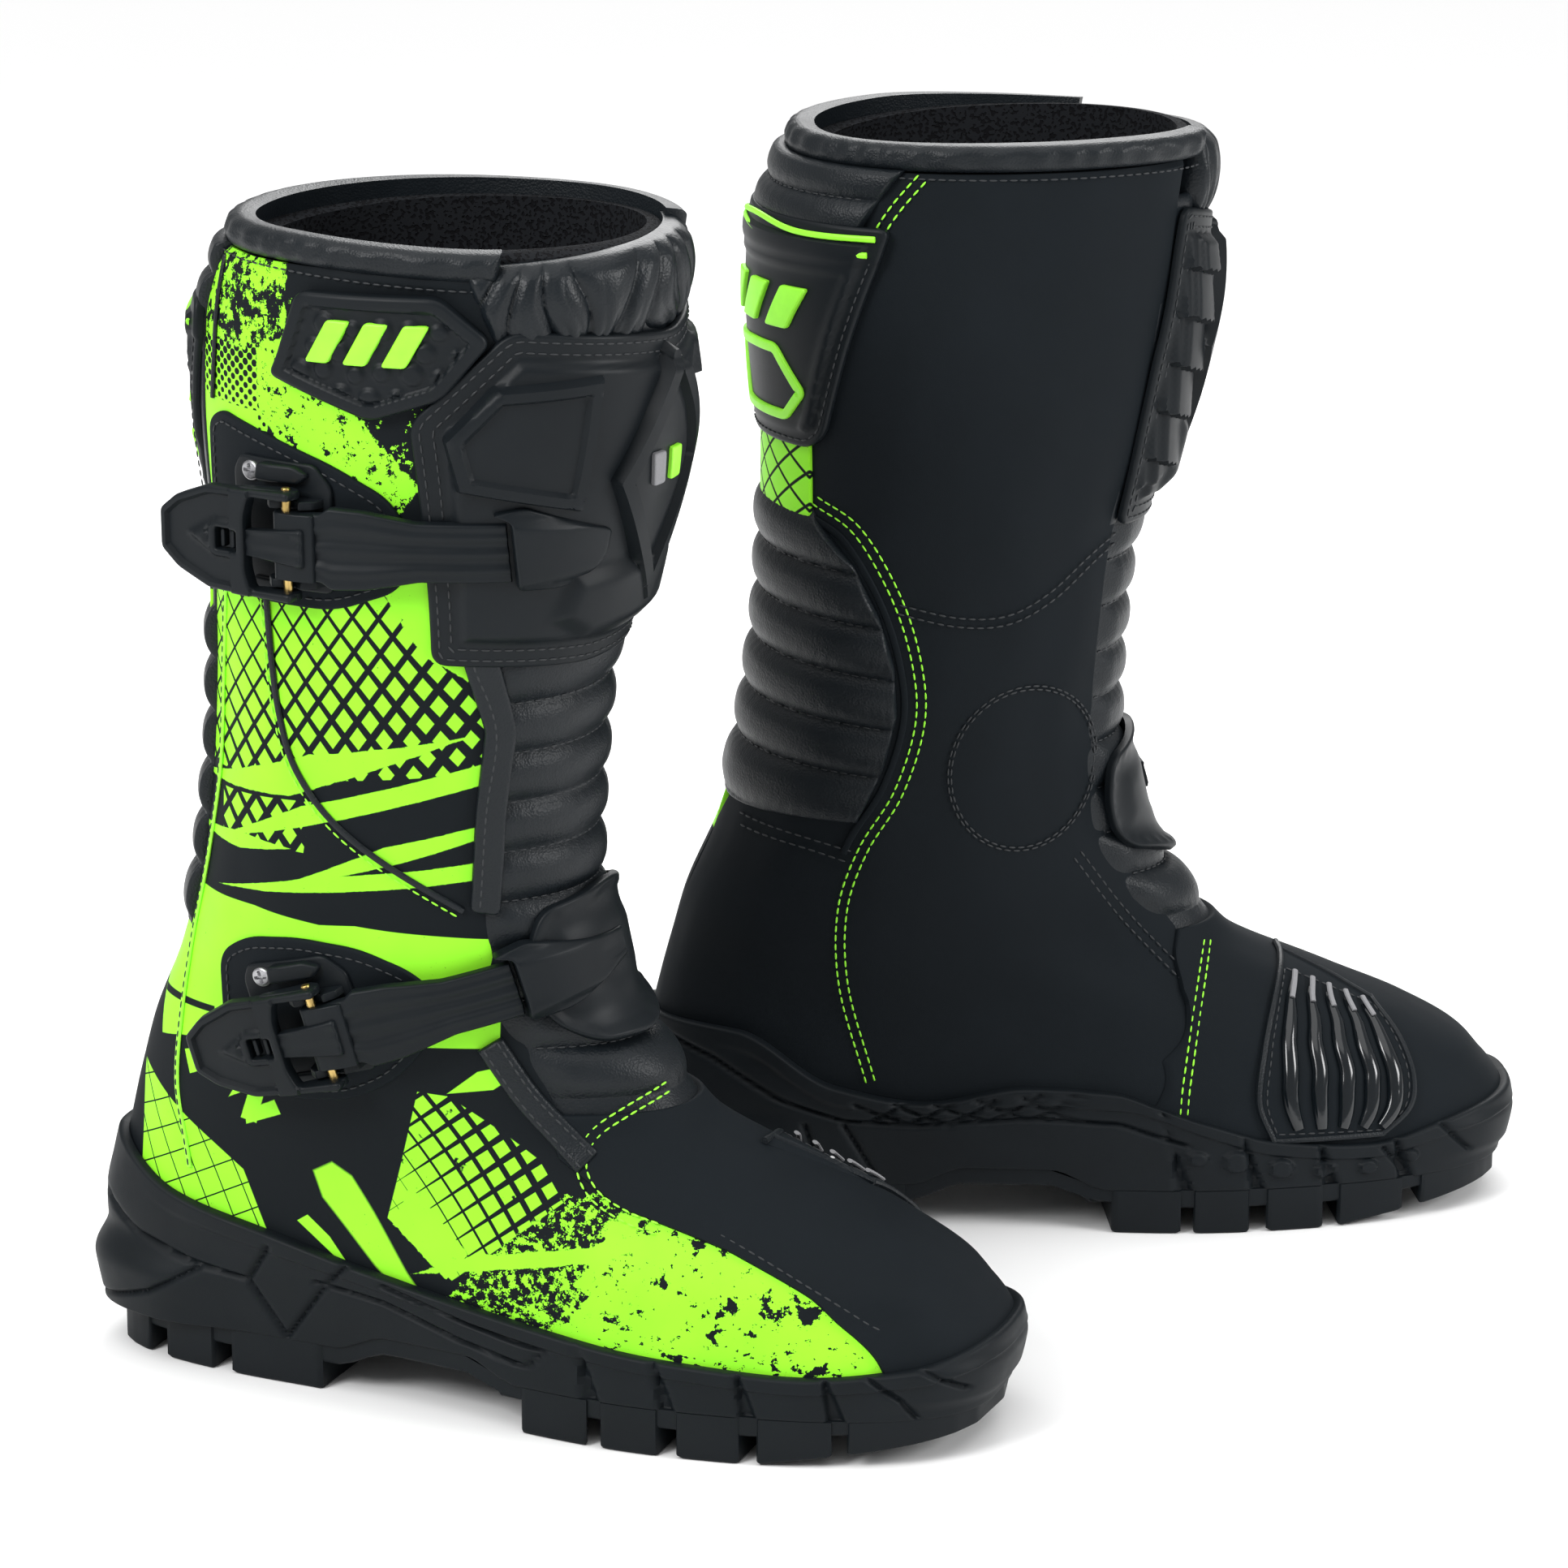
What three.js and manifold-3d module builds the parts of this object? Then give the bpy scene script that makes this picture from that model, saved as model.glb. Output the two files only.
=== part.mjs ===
// A pair of tall off-road riding boots, each built from its sewn, moulded and hinged pieces.
// One boot is modelled as the right boot, and the left boot is its mirror image.
// Boot axes, in millimetres: x from heel to toe, y towards the inner side, z up from the floor.
import * as THREE from "three";
import { mergeVertices } from "three/addons/utils/BufferGeometryUtils.js";
import Module from "manifold-3d";

const wasm = await Module();
wasm.setup();

// ---------- Driving dimensions ----------

// The leather surface seen from the side: height, back edge, front edge.
const SIDE_PROFILE = [
  [20, 8, 316], [45, 4, 320], [65, 3, 303], [80, 6, 276], [92, 9, 252], [112, 14, 218], [130, 19, 203],
  [160, 32, 182], [200, 42, 176], [250, 48, 179], [300, 49, 190], [350, 46, 201], [412, 50, 207],
];
// Half widths seen from the front: height, rear half of the boot, front half of the boot.
const HALF_WIDTHS = [
  [20, 38, 56], [60, 40, 52], [92, 41, 42], [112, 43, 38], [150, 48, 40], [220, 56, 48], [320, 60, 58],
  [412, 62, 62],
];
// How square a level cut through the boot is: height, exponent of the superellipse.
const SQUARENESS = [[20, 2.9], [60, 2.7], [110, 2.3], [200, 2.15]];
// Top edge of the sole cup along the boot: x, height on the outer side, height on the inner side.
const CUP_EDGE = [
  [5, 88, 88], [35, 74, 86], [72, 67, 66], [104, 60, 60], [142, 52, 66], [177, 46, 64], [204, 42, 51],
  [227, 40, 42], [262, 38, 38], [297, 42, 46], [320, 50, 50],
];
const BLEND_FROM = 80;          // x where the width starts to pass from rear to front
const BLEND_LENGTH = 140;

// Heights in these tables and in every outline run up the last the pieces are cut on. On the finished
// boot the foot stands lower, so a height above the floor is less by this much from the lower height up.
const SOLE_SAVING = 13;
const SOLE_ZONE = 60;
const OUTSOLE_TOP = 21;
const GAP = 0.6;                // clearance between pieces that are sewn or bonded together
const SEAM = 1.1;               // clearance along a seam between two panels, as an angle in degrees

// Layers, as distances out from the leather surface.
const LINING = [-13, -10];
const STIFFENER = [-7.6, -6];
const LEATHER = [-3, -0.4];
const PLATE = [0.7, 3.4];
const CUP_WALL = [1, 3.3];
const TUCK = 7;                 // how far the upper reaches down behind the sole cup's edge

const PIN_RADIUS = 1.5;
const PIN_LENGTH = 37;
const PIN_CLEARANCE = 0.45;
const PIN_HEIGHT = 9.5;         // pin axis above the leather
const EAR_SPACING = 13;         // from the middle of the strap to the middle of a buckle ear
const EAR_THICKNESS = 2.6;
const ARM_INNER = 15.2;         // the lever's arms run outside the ears
const ARM_OUTER = 18;
const LEVER_LENGTH = 48;
const LEVER_THICKNESS = 3.4;
const STRAP_THICKNESS = 3.2;

// Where each buckle's pin and its strap's hinge lie on the outer side: x and height.
const BUCKLES = {
  upper: { pin: [101, 313], hinge: [163, 313], guideFront: [184, 313] },
  lower: { pin: [102, 146], hinge: [158, 161], guideFront: [178, 166] },
};

// Each boot's place: x, y and turn in degrees of the point 150 mm ahead of the heel.
const ANKLE_X = 150;
const PLACES = {
  right: { x: -91, y: -91, turn: -19 },
  left: { x: 91, y: 91, turn: 5 },
};

// ---------- Boot surface ----------

// A smooth curve through stations that never overshoots them.
function throughStations(stations, column) {
  const x = stations.map((s) => s[0]);
  const y = stations.map((s) => s[column]);
  const secant = x.slice(1).map((_, i) => (y[i + 1] - y[i]) / (x[i + 1] - x[i]));
  const slope = x.map((_, i) => {
    if (i === 0) return secant[0];
    if (i === x.length - 1) return secant[i - 1];
    const a = secant[i - 1];
    const b = secant[i];
    return a * b <= 0 ? 0 : (2 * a * b) / (a + b);
  });
  return (value) => {
    const t = THREE.MathUtils.clamp(value, x[0], x[x.length - 1]);
    let i = 0;
    while (i < x.length - 2 && t > x[i + 1]) i += 1;
    const h = x[i + 1] - x[i];
    const s = (t - x[i]) / h;
    const r = 1 - s;
    return y[i] * r * r * (1 + 2 * s) + y[i + 1] * s * s * (3 - 2 * s)
      + h * slope[i] * s * r * r - h * slope[i + 1] * s * s * r;
  };
}

const backEdge = throughStations(SIDE_PROFILE, 1);
const foreEdge = throughStations(SIDE_PROFILE, 2);
const rearHalfWidth = throughStations(HALF_WIDTHS, 1);
const frontHalfWidth = throughStations(HALF_WIDTHS, 2);
const squareness = throughStations(SQUARENESS, 1);
const outerCupEdge = throughStations(CUP_EDGE, 1);
const innerCupEdge = throughStations(CUP_EDGE, 2);

const radians = THREE.MathUtils.degToRad;
const lerp = THREE.MathUtils.lerp;
const signedPower = (value, power) => Math.sign(value) * Math.abs(value) ** power;

const aboveFloor = (height) => height - SOLE_SAVING * Math.min(height / SOLE_ZONE, 1);

// A point of the leather surface. Angle 0 is the front, 90 the outer side, 180 the heel.
function surfacePoint(angle, height) {
  const power = 2 / squareness(height);
  const back = backEdge(height);
  const front = foreEdge(height);
  const along = signedPower(Math.cos(radians(angle)), power);
  const across = signedPower(Math.sin(radians(angle)), power);
  const x = (back + front) / 2 + ((front - back) / 2) * along;
  const blend = THREE.MathUtils.smoothstep(x, BLEND_FROM, BLEND_FROM + BLEND_LENGTH);
  const halfWidth = lerp(rearHalfWidth(height), frontHalfWidth(height), blend);
  return new THREE.Vector3(x, -halfWidth * across, aboveFloor(height));
}

function surfaceNormal(angle, height) {
  const around = surfacePoint(angle + 1.5, height).sub(surfacePoint(angle - 1.5, height));
  const up = surfacePoint(angle, height + 2).sub(surfacePoint(angle, height - 2));
  return up.cross(around).normalize();
}

function offsetPoint(angle, height, distance) {
  return surfacePoint(angle, height).addScaledVector(surfaceNormal(angle, height), distance);
}

// The angle at which the surface passes a given x, on the outer side.
function angleAt(x, height) {
  const back = backEdge(height);
  const front = foreEdge(height);
  const along = THREE.MathUtils.clamp((2 * x - back - front) / (front - back), -1, 1);
  return THREE.MathUtils.radToDeg(Math.acos(signedPower(along, squareness(height) / 2)));
}

const outer = (x, height) => [angleAt(x, height), height];
const inner = (x, height) => [-angleAt(x, height), height];

function cupEdge(angle) {
  const x = surfacePoint(angle, 50).x;
  const onOuterSide = Math.sin(radians(angle)) >= 0;
  return onOuterSide ? outerCupEdge(x) : innerCupEdge(x);
}

// ---------- Solids ----------

function closedGeometry(vertices, triangles) {
  const geometry = new THREE.BufferGeometry();
  geometry.setAttribute("position", new THREE.Float32BufferAttribute(vertices.flat(), 3));
  geometry.setIndex(triangles.flat());
  return facingOut(geometry);
}

function facingOut(geometry) {
  const position = geometry.getAttribute("position");
  const index = geometry.getIndex();
  const corner = (k) => new THREE.Vector3().fromBufferAttribute(position, index.getX(k));
  let volume = 0;
  for (let k = 0; k < index.count; k += 3) volume += corner(k).dot(corner(k + 1).cross(corner(k + 2)));
  if (volume > 0) return geometry;
  for (let k = 0; k < index.count; k += 3) {
    const first = index.getX(k);
    index.setX(k, index.getX(k + 1));
    index.setX(k + 1, first);
  }
  return geometry;
}

// A curved shell. place(u, v) gives [angle, height], and the shell fills the space between the two
// distances in layer, each a number or a function of u and v. A ring joins u = 1 back to u = 0.
function shell({ place, layer, columns, rows, ring = false }) {
  const across = ring ? columns : columns + 1;
  const vertices = [];
  for (const side of layer) {
    const distance = typeof side === "function" ? side : () => side;
    for (let j = 0; j <= rows; j += 1) {
      for (let i = 0; i < across; i += 1) {
        const u = i / columns;
        const v = j / rows;
        vertices.push(offsetPoint(...place(u, v), distance(u, v)).toArray());
      }
    }
  }
  const at = (side, i, j) => side * across * (rows + 1) + j * across + (i % across);
  const triangles = [];
  const quad = (a, b, c, d) => triangles.push([a, b, c], [a, c, d]);
  for (let i = 0; i < columns; i += 1) {
    for (let j = 0; j < rows; j += 1) {
      quad(at(0, i, j), at(0, i + 1, j), at(0, i + 1, j + 1), at(0, i, j + 1));
      quad(at(1, i, j), at(1, i, j + 1), at(1, i + 1, j + 1), at(1, i + 1, j));
    }
    quad(at(0, i, 0), at(1, i, 0), at(1, i + 1, 0), at(0, i + 1, 0));
    quad(at(0, i, rows), at(0, i + 1, rows), at(1, i + 1, rows), at(1, i, rows));
  }
  for (let j = 0; j < rows && !ring; j += 1) {
    quad(at(0, 0, j), at(0, 0, j + 1), at(1, 0, j + 1), at(1, 0, j));
    quad(at(0, columns, j), at(1, columns, j), at(1, columns, j + 1), at(0, columns, j + 1));
  }
  return closedGeometry(vertices, triangles);
}

// A point at fraction t of a chain of [angle, height] corners.
function alongEdge(corners, t) {
  const step = t * (corners.length - 1);
  const i = Math.min(Math.floor(step), corners.length - 2);
  return corners[i].map((value, k) => lerp(value, corners[i + 1][k], step - i));
}

// Fills the space between a left and a right edge, each given from top to bottom.
function between(left, right) {
  return (u, v) => {
    const a = alongEdge(left, v);
    const b = alongEdge(right, v);
    return a.map((value, k) => lerp(value, b[k], u));
  };
}

// As between, but the lowest row runs behind the top edge of the sole cup.
function downToCup(left, right) {
  const fill = between(left, right);
  return (u, v) => {
    const [angle, height] = fill(u, v);
    const lowest = fill(u, 1);
    return [angle, height + (cupEdge(lowest[0]) - TUCK - lowest[1]) * v * v];
  };
}

function toManifold(geometry) {
  const bare = geometry.clone();
  bare.deleteAttribute("normal");
  bare.deleteAttribute("uv");
  const merged = mergeVertices(bare, 1e-4);
  return new wasm.Manifold(new wasm.Mesh({
    numProp: 3,
    vertProperties: new Float32Array(merged.getAttribute("position").array),
    triVerts: new Uint32Array(merged.getIndex().array),
  }));
}

function fromManifold(solid) {
  const mesh = solid.getMesh();
  const geometry = new THREE.BufferGeometry();
  geometry.setAttribute("position", new THREE.BufferAttribute(new Float32Array(mesh.vertProperties), 3));
  geometry.setIndex(new THREE.BufferAttribute(new Uint32Array(mesh.triVerts), 1));
  return geometry;
}

const joined = (...pieces) => fromManifold(pieces.map(toManifold).reduce((a, b) => a.add(b)));
const common = (a, b) => fromManifold(toManifold(a).intersect(toManifold(b)));
const cut = (body, ...tools) => {
  const start = toManifold(body);
  return fromManifold(tools.map(toManifold).reduce((a, b) => a.subtract(b), start));
};

// An outline drawn in a plane and thickened evenly to both sides of it.
function slab(outline, thickness) {
  const shape = new THREE.Shape(outline.map(([x, y]) => new THREE.Vector2(x, y)));
  const geometry = new THREE.ExtrudeGeometry(shape, { depth: thickness, bevelEnabled: false });
  return geometry.translate(0, 0, -thickness / 2);
}

function box(low, high) {
  const size = high.map((value, k) => value - low[k]);
  const middle = high.map((value, k) => (value + low[k]) / 2);
  return new THREE.BoxGeometry(...size).translate(...middle);
}

// ---------- Sole ----------

// Side view of the outsole: heel lugs, a raised arch, forefoot lugs and an upturned toe.
function outsoleSideView() {
  const top = aboveFloor(OUTSOLE_TOP);
  const grooveDepth = 4;
  const grooveWidth = 5;
  const arch = 10;
  const lugs = (start, lugLength, count) => {
    const points = [];
    for (let i = 0; i < count; i += 1) {
      const from = start + i * (lugLength + grooveWidth);
      points.push([from, 0], [from + lugLength, 0]);
      if (i < count - 1) points.push([from + lugLength, grooveDepth], [from + lugLength + grooveWidth, grooveDepth]);
    }
    return points;
  };
  const heelLugs = lugs(16, 18, 4);
  const forefootLugs = lugs(182, 15, 4);
  const heelFront = heelLugs[heelLugs.length - 1][0];
  const forefootEnd = forefootLugs[forefootLugs.length - 1][0];
  return [
    [-12, top], [-12, 7], [8, 5], ...heelLugs,
    [heelFront + 7, arch], [172, arch + 0.5], ...forefootLugs,
    [forefootEnd + 4, 3], [305, 7], [330, 12], [330, top],
  ];
}

function outsole() {
  const outline = [];
  const steps = 36;
  for (let i = 0; i < steps; i += 1) outline.push(offsetPoint((i * 360) / steps, 20, CUP_WALL[1] - 1).toArray());
  const plan = slab(outline, 60);
  const side = slab(outsoleSideView(), 140).rotateX(Math.PI / 2);
  const centreGroove = box([190, -5, -1], [292, 5, 3.4]);
  return cut(common(side, plan), centreGroove);
}

function soleCup() {
  const foot = OUTSOLE_TOP + GAP;
  const place = (u, v) => [360 * u, lerp(foot, cupEdge(360 * u), v)];
  const taper = (u, v) => lerp(CUP_WALL[1], CUP_WALL[1] - 1, v);
  return shell({ place, layer: [CUP_WALL[0], taper], columns: 32, rows: 3, ring: true });
}

function shank() {
  const bottom = aboveFloor(OUTSOLE_TOP) + 1;
  const outline = [[60, -14], [120, -11], [180, -16], [210, -12], [210, 12], [180, 16], [120, 11], [60, 14]];
  return slab(outline, 1.6).translate(0, 0, bottom + 1.8);
}

function footbed() {
  const level = OUTSOLE_TOP + 5;
  const thickness = 6;
  const outline = [];
  const steps = 24;
  for (let i = 0; i < steps; i += 1) outline.push(offsetPoint((i * 360) / steps, level, LINING[0] - 3).toArray());
  return slab(outline, thickness).translate(0, 0, aboveFloor(OUTSOLE_TOP) + 5 + thickness / 2);
}

// ---------- Soft upper and its stiffeners ----------

function liner() {
  const levels = [26, 46, 64, 80, 94, 108, 124, 145, 178, 220, 272, 330, 393];
  const place = (u, v) => [360 * u, levels[Math.round(v * (levels.length - 1))]];
  return shell({ place, layer: LINING, columns: 18, rows: levels.length - 1, ring: true });
}

function toePuff() {
  const place = between([[52, 80], [52, 40]], [[-52, 80], [-52, 40]]);
  return shell({ place, layer: STIFFENER, columns: 8, rows: 3 });
}

function heelCounter() {
  const place = between([[128, 112], [128, 40]], [[232, 112], [232, 40]]);
  return shell({ place, layer: STIFFENER, columns: 6, rows: 3 });
}

// The point behind the cup's edge straight below a given point.
const footAt = ([angle]) => [angle, cupEdge(angle) - TUCK];

// The seam where the front of the foot meets the outer side panel, from the instep to the cup.
const VAMP_OUTER_EDGE = [
  [53, 118], [62, 104], outer(201, 91), outer(240, 80), outer(268, 68), footAt(outer(294, 50)),
];
// The same seam on the inner side.
const VAMP_INNER_EDGE = [
  [-40, 118], [-52, 104], inner(202, 92), inner(199, 82), inner(196, 70), footAt(inner(193, 50)),
];

const FRONT_OUTER_ANGLE = 53;
const FRONT_INNER_ANGLE = -40;
const REAR_OUTER_ANGLE = 152;
const REAR_INNER_ANGLE = -146;
const BELLOWS_TOP = 272;
const PANEL_TOP = 392;
const REAR_FLEX_BOTTOM = 172;

function shifted(corners, angle) {
  return corners.map(([a, height]) => [a + angle, height]);
}

function vamp() {
  const place = downToCup(shifted(VAMP_OUTER_EDGE, -SEAM), shifted(VAMP_INNER_EDGE, SEAM));
  return shell({ place, layer: LEATHER, columns: 9, rows: 10 });
}

// A side panel runs from the shaft top to the sole cup between the front seam and the heel.
function sidePanel(frontEdgeCorners, backEdgeCorners) {
  const place = downToCup(frontEdgeCorners, backEdgeCorners);
  return shell({ place, layer: LEATHER, columns: 8, rows: 11 });
}

// The back edge of a side panel: beside the flexible back panel, then along the heel's centre line.
function heelEdge(rearAngle, heelAngle) {
  return [
    [rearAngle, PANEL_TOP], [rearAngle, 332], [rearAngle, BELLOWS_TOP], [rearAngle, 220], [rearAngle, REAR_FLEX_BOTTOM],
    [heelAngle, REAR_FLEX_BOTTOM - 9], [heelAngle, 146], [heelAngle, 132], [heelAngle, 120], [heelAngle, 108],
    [heelAngle, 97], footAt([heelAngle]),
  ];
}

function frontEdge(angle, vampEdge) {
  return [[angle, PANEL_TOP], [angle, 332], [angle, BELLOWS_TOP], [angle, 220], [angle, 178], [angle, 147], ...vampEdge];
}

function lateralPanel() {
  const front = shifted(frontEdge(FRONT_OUTER_ANGLE, VAMP_OUTER_EDGE), SEAM);
  return sidePanel(front, heelEdge(REAR_OUTER_ANGLE, 179.2));
}

function medialPanel() {
  const front = shifted(frontEdge(FRONT_INNER_ANGLE, VAMP_INNER_EDGE), -SEAM);
  return sidePanel(front, heelEdge(REAR_INNER_ANGLE, -179.2));
}

function ribs(count, depth) {
  return (u, v) => LEATHER[1] - depth * (0.5 + 0.5 * Math.cos(2 * Math.PI * count * v));
}

function frontBellows() {
  const top = BELLOWS_TOP - 1;
  const bottom = 119;
  const place = between(
    [[FRONT_OUTER_ANGLE - SEAM, top], [FRONT_OUTER_ANGLE - SEAM, bottom]],
    [[FRONT_INNER_ANGLE + SEAM, top], [FRONT_INNER_ANGLE + SEAM, bottom]],
  );
  return shell({ place, layer: [LEATHER[0] - 1.4, ribs(7, 1.4)], columns: 5, rows: 14 });
}

function rearFlexPanel() {
  const place = between(
    [[REAR_OUTER_ANGLE + SEAM, PANEL_TOP], [REAR_OUTER_ANGLE + SEAM, REAR_FLEX_BOTTOM + 2]],
    [[360 + REAR_INNER_ANGLE - SEAM, PANEL_TOP], [360 + REAR_INNER_ANGLE - SEAM, REAR_FLEX_BOTTOM + 2]],
  );
  return shell({ place, layer: [LEATHER[0] - 1.2, ribs(8, 1.2)], columns: 4, rows: 16 });
}

// The soft tongue behind the shin plate, with the gathered gaiter sewn along its top.
function tongue() {
  const place = between(
    [[FRONT_OUTER_ANGLE - SEAM, 398], [FRONT_OUTER_ANGLE - SEAM, BELLOWS_TOP + 1]],
    [[FRONT_INNER_ANGLE + SEAM, 384], [FRONT_INNER_ANGLE + SEAM, BELLOWS_TOP + 1]],
  );
  return shell({ place, layer: LEATHER, columns: 6, rows: 8 });
}

// The padded roll round the back and sides of the shaft opening.
function collar() {
  const place = between([[56, 410], [56, 396]], [[318, 410], [318, 396]]);
  const swell = (u, v) => 1.2 - 6 * (v - 0.5) ** 2;
  return shell({ place, layer: [-9, swell], columns: 20, rows: 2 });
}

// ---------- Moulded armour ----------

function shinPlate() {
  const place = between(
    [[57, 382], [74, 352], [70, 318], [66, 276]],
    [[-46, 378], [-50, 350], [-50, 318], [-46, 276]],
  );
  const crown = (u) => 1.6 * Math.max(0, 1 - Math.abs(u - 0.56) * 3);
  return shell({ place, layer: [PLATE[0], (u) => PLATE[1] + crown(u)], columns: 12, rows: 5 });
}

function instepGuide() {
  const place = between([[60, 186], [66, 164], [62, 140]], [[-26, 190], [-30, 164], [-22, 142]]);
  return shell({ place, layer: PLATE, columns: 8, rows: 4 });
}

function cuffPlate() {
  const place = between(
    [outer(150, 393), outer(158, 386), outer(127, 356)],
    [outer(97, 393), outer(86, 376), outer(104, 357)],
  );
  return shell({ place, layer: [PLATE[0], PLATE[1] - 0.4], columns: 6, rows: 4 });
}

function calfPlate() {
  const place = between(
    [[146, 382], [150, 366], [158, 336], [170, 306]],
    [[246, 382], [242, 366], [230, 336], [206, 306]],
  );
  return shell({ place, layer: PLATE, columns: 8, rows: 6 });
}

// The inner toe pad that takes the wear of the gear lever.
function shiftPad() {
  const place = between(
    [[-8, 92], [-8, 82], [-14, 66], [-22, 52]],
    [inner(222, 96), inner(216, 84), inner(222, 66), inner(226, 50)],
  );
  return shell({ place, layer: [PLATE[0], PLATE[1] - 0.6], columns: 7, rows: 5 });
}

// ---------- Buckles ----------

// The pin's own axes: origin on the pin, x along the strap to the front, y along the pin, z outwards.
function buckleFrame({ pin, hinge }) {
  const [angle, height] = outer(...pin);
  const normal = surfaceNormal(angle, height);
  const origin = surfacePoint(angle, height).addScaledVector(normal, PIN_HEIGHT);
  const forward = surfacePoint(...outer(...hinge)).sub(surfacePoint(angle, height));
  forward.addScaledVector(normal, -forward.dot(normal)).normalize();
  const up = new THREE.Vector3().crossVectors(normal, forward).normalize();
  return new THREE.Matrix4().makeBasis(forward, up, normal).setPosition(origin);
}

function inFrame(geometry, frame) {
  return geometry.clone().applyMatrix4(frame);
}

function cylinderAlongPin(radius, length, sides) {
  return new THREE.CylinderGeometry(radius, radius, length, sides);
}

// A patch of the surface laid along the strap's line, from the pin line at u = 0 to a place in front.
function alongStrap({ pin, hinge }, from, to, halfWidth) {
  const slope = (hinge[1] - pin[1]) / (hinge[0] - pin[0]);
  return (u, v) => {
    const x = lerp(from, to, u);
    const width = typeof halfWidth === "function" ? halfWidth(u) : halfWidth;
    const offset = lerp(width, -width, v);
    const height = pin[1] + slope * (x - pin[0]) + offset / Math.hypot(1, slope);
    return outer(x - (offset * slope) / Math.hypot(1, slope), height);
  };
}

// The ear's hook is open outwards and towards the front, so the strap can swing away from it.
function ear(side) {
  const notch = PIN_RADIUS + PIN_CLEARANCE;
  const outline = [
    [-9, -PIN_HEIGHT + 1.6], [10, -PIN_HEIGHT + 1.6], [9, -2.2], [notch + 3.4, 0.4], [notch + 0.9, 0.9],
    [notch, -0.6], [0.8, -notch], [-0.8, -notch], [-notch, -0.8], [-notch, 2.6], [-5.5, 2.6], [-9, -2.5],
  ];
  return slab(outline, EAR_THICKNESS).rotateX(-Math.PI / 2).scale(1, 1, -1).translate(0, side * EAR_SPACING, 0);
}

function buckleBase(buckle) {
  const frame = buckleFrame(buckle);
  const strip = alongStrap(buckle, buckle.pin[0] - 24, buckle.pin[0] + 12, 25);
  const place = (u, v) => strip(u, v * 0.86);
  const plate = shell({ place, layer: PLATE, columns: 6, rows: 3 });
  const ears = [-1, 1].map((side) => facingOutSolid(inFrame(ear(side), frame)));
  return joined(plate, ...ears);
}

function facingOutSolid(geometry) {
  const bare = geometry.clone();
  bare.deleteAttribute("normal");
  bare.deleteAttribute("uv");
  return facingOut(mergeVertices(bare, 1e-4));
}

function strap(buckle) {
  const frame = buckleFrame(buckle);
  const reach = buckle.hinge[0] - buckle.pin[0];
  const halfWidth = (u) => lerp(11, 9.8, Math.min(1, 1.6 * u));
  const place = alongStrap(buckle, buckle.pin[0] + 7, buckle.hinge[0] - 1, halfWidth);
  const rise = (u) => lerp(PIN_HEIGHT - 2, PLATE[1] + 1.4, Math.min(1, 1.5 * u));
  const layer = [rise, (u, v) => rise(u) + STRAP_THICKNESS];
  const band = shell({ place, layer, columns: Math.round(reach / 8), rows: 1 });
  const knuckleOutline = [[-4, -3.6], [11, -3.6], [11, 3.2], [4, 4], [-2, 4], [-4, 2]];
  const knuckle = slab(knuckleOutline, 22).rotateX(-Math.PI / 2).scale(1, 1, -1);
  const pinHole = cylinderAlongPin(PIN_RADIUS + PIN_CLEARANCE, 60, 12);
  const body = joined(band, facingOutSolid(inFrame(knuckle, frame)));
  return cut(body, inFrame(pinHole, frame));
}

function lever(buckle) {
  const frame = buckleFrame(buckle);
  const armMiddle = (ARM_INNER + ARM_OUTER) / 2;
  const armOutline = [[-20, -1.4], [-4, -3.4], [0, -4.2], [3.6, -2.6], [4.2, 0], [3, 3.2], [0, 4.2], [-6, 4], [-20, 3.4]];
  const arms = [-1, 1].map((side) => slab(armOutline, ARM_OUTER - ARM_INNER)
    .rotateX(-Math.PI / 2).scale(1, 1, -1).translate(0, side * armMiddle, 0));
  const plateOutline = [
    [-13, -ARM_OUTER], [-13, ARM_OUTER], [-28, ARM_OUTER - 1], [-40, 13], [-LEVER_LENGTH, 7],
    [-LEVER_LENGTH, -7], [-40, -13], [-28, -ARM_OUTER + 1],
  ];
  const plate = slab(plateOutline, LEVER_THICKNESS).translate(0, 0, 1.6);
  const pinHole = cylinderAlongPin(PIN_RADIUS + PIN_CLEARANCE, 60, 12);
  const solids = [plate, ...arms].map(facingOutSolid);
  return inFrame(cut(joined(...solids), pinHole), frame);
}

function pin(buckle) {
  return inFrame(cylinderAlongPin(PIN_RADIUS, PIN_LENGTH, 10), buckleFrame(buckle));
}

// The block that holds the strap's fixed end, closed at the front and open towards the buckle.
function strapGuide(buckle) {
  const place = alongStrap(buckle, buckle.hinge[0] + 2, buckle.guideFront[0], 14);
  const layer = [PLATE[1] + 2.4, PLATE[1] + 7.6];
  return shell({ place, layer, columns: 5, rows: 1 });
}

function screw(buckle) {
  const [x, height] = buckle.pin;
  const [angle, z] = outer(x - 17, height + 20.5);
  const middle = offsetPoint(angle, z, PLATE[1] + 1.5);
  const turn = new THREE.Quaternion().setFromUnitVectors(new THREE.Vector3(0, 1, 0), surfaceNormal(angle, z));
  return new THREE.CylinderGeometry(2.6, 3, 1.8, 10).applyQuaternion(turn).translate(...middle);
}

// ---------- Finishes ----------

const finish = (color, roughness, metalness = 0) => new THREE.MeshStandardMaterial({ color, roughness, metalness });
const FINISHES = {
  rubber: finish(0x1d1d1e, 0.75),
  leather: finish(0x1b1b1c, 0.55),
  printed: finish(0x6fe81e, 0.5),
  moulded: finish(0x232325, 0.4),
  lining: finish(0x2c2c2e, 0.9),
  board: finish(0x8a7a5c, 0.9),
  steel: finish(0x9a9a9c, 0.35, 1),
  brass: finish(0xb58d3c, 0.35, 1),
};

// ---------- Assembly ----------

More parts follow.
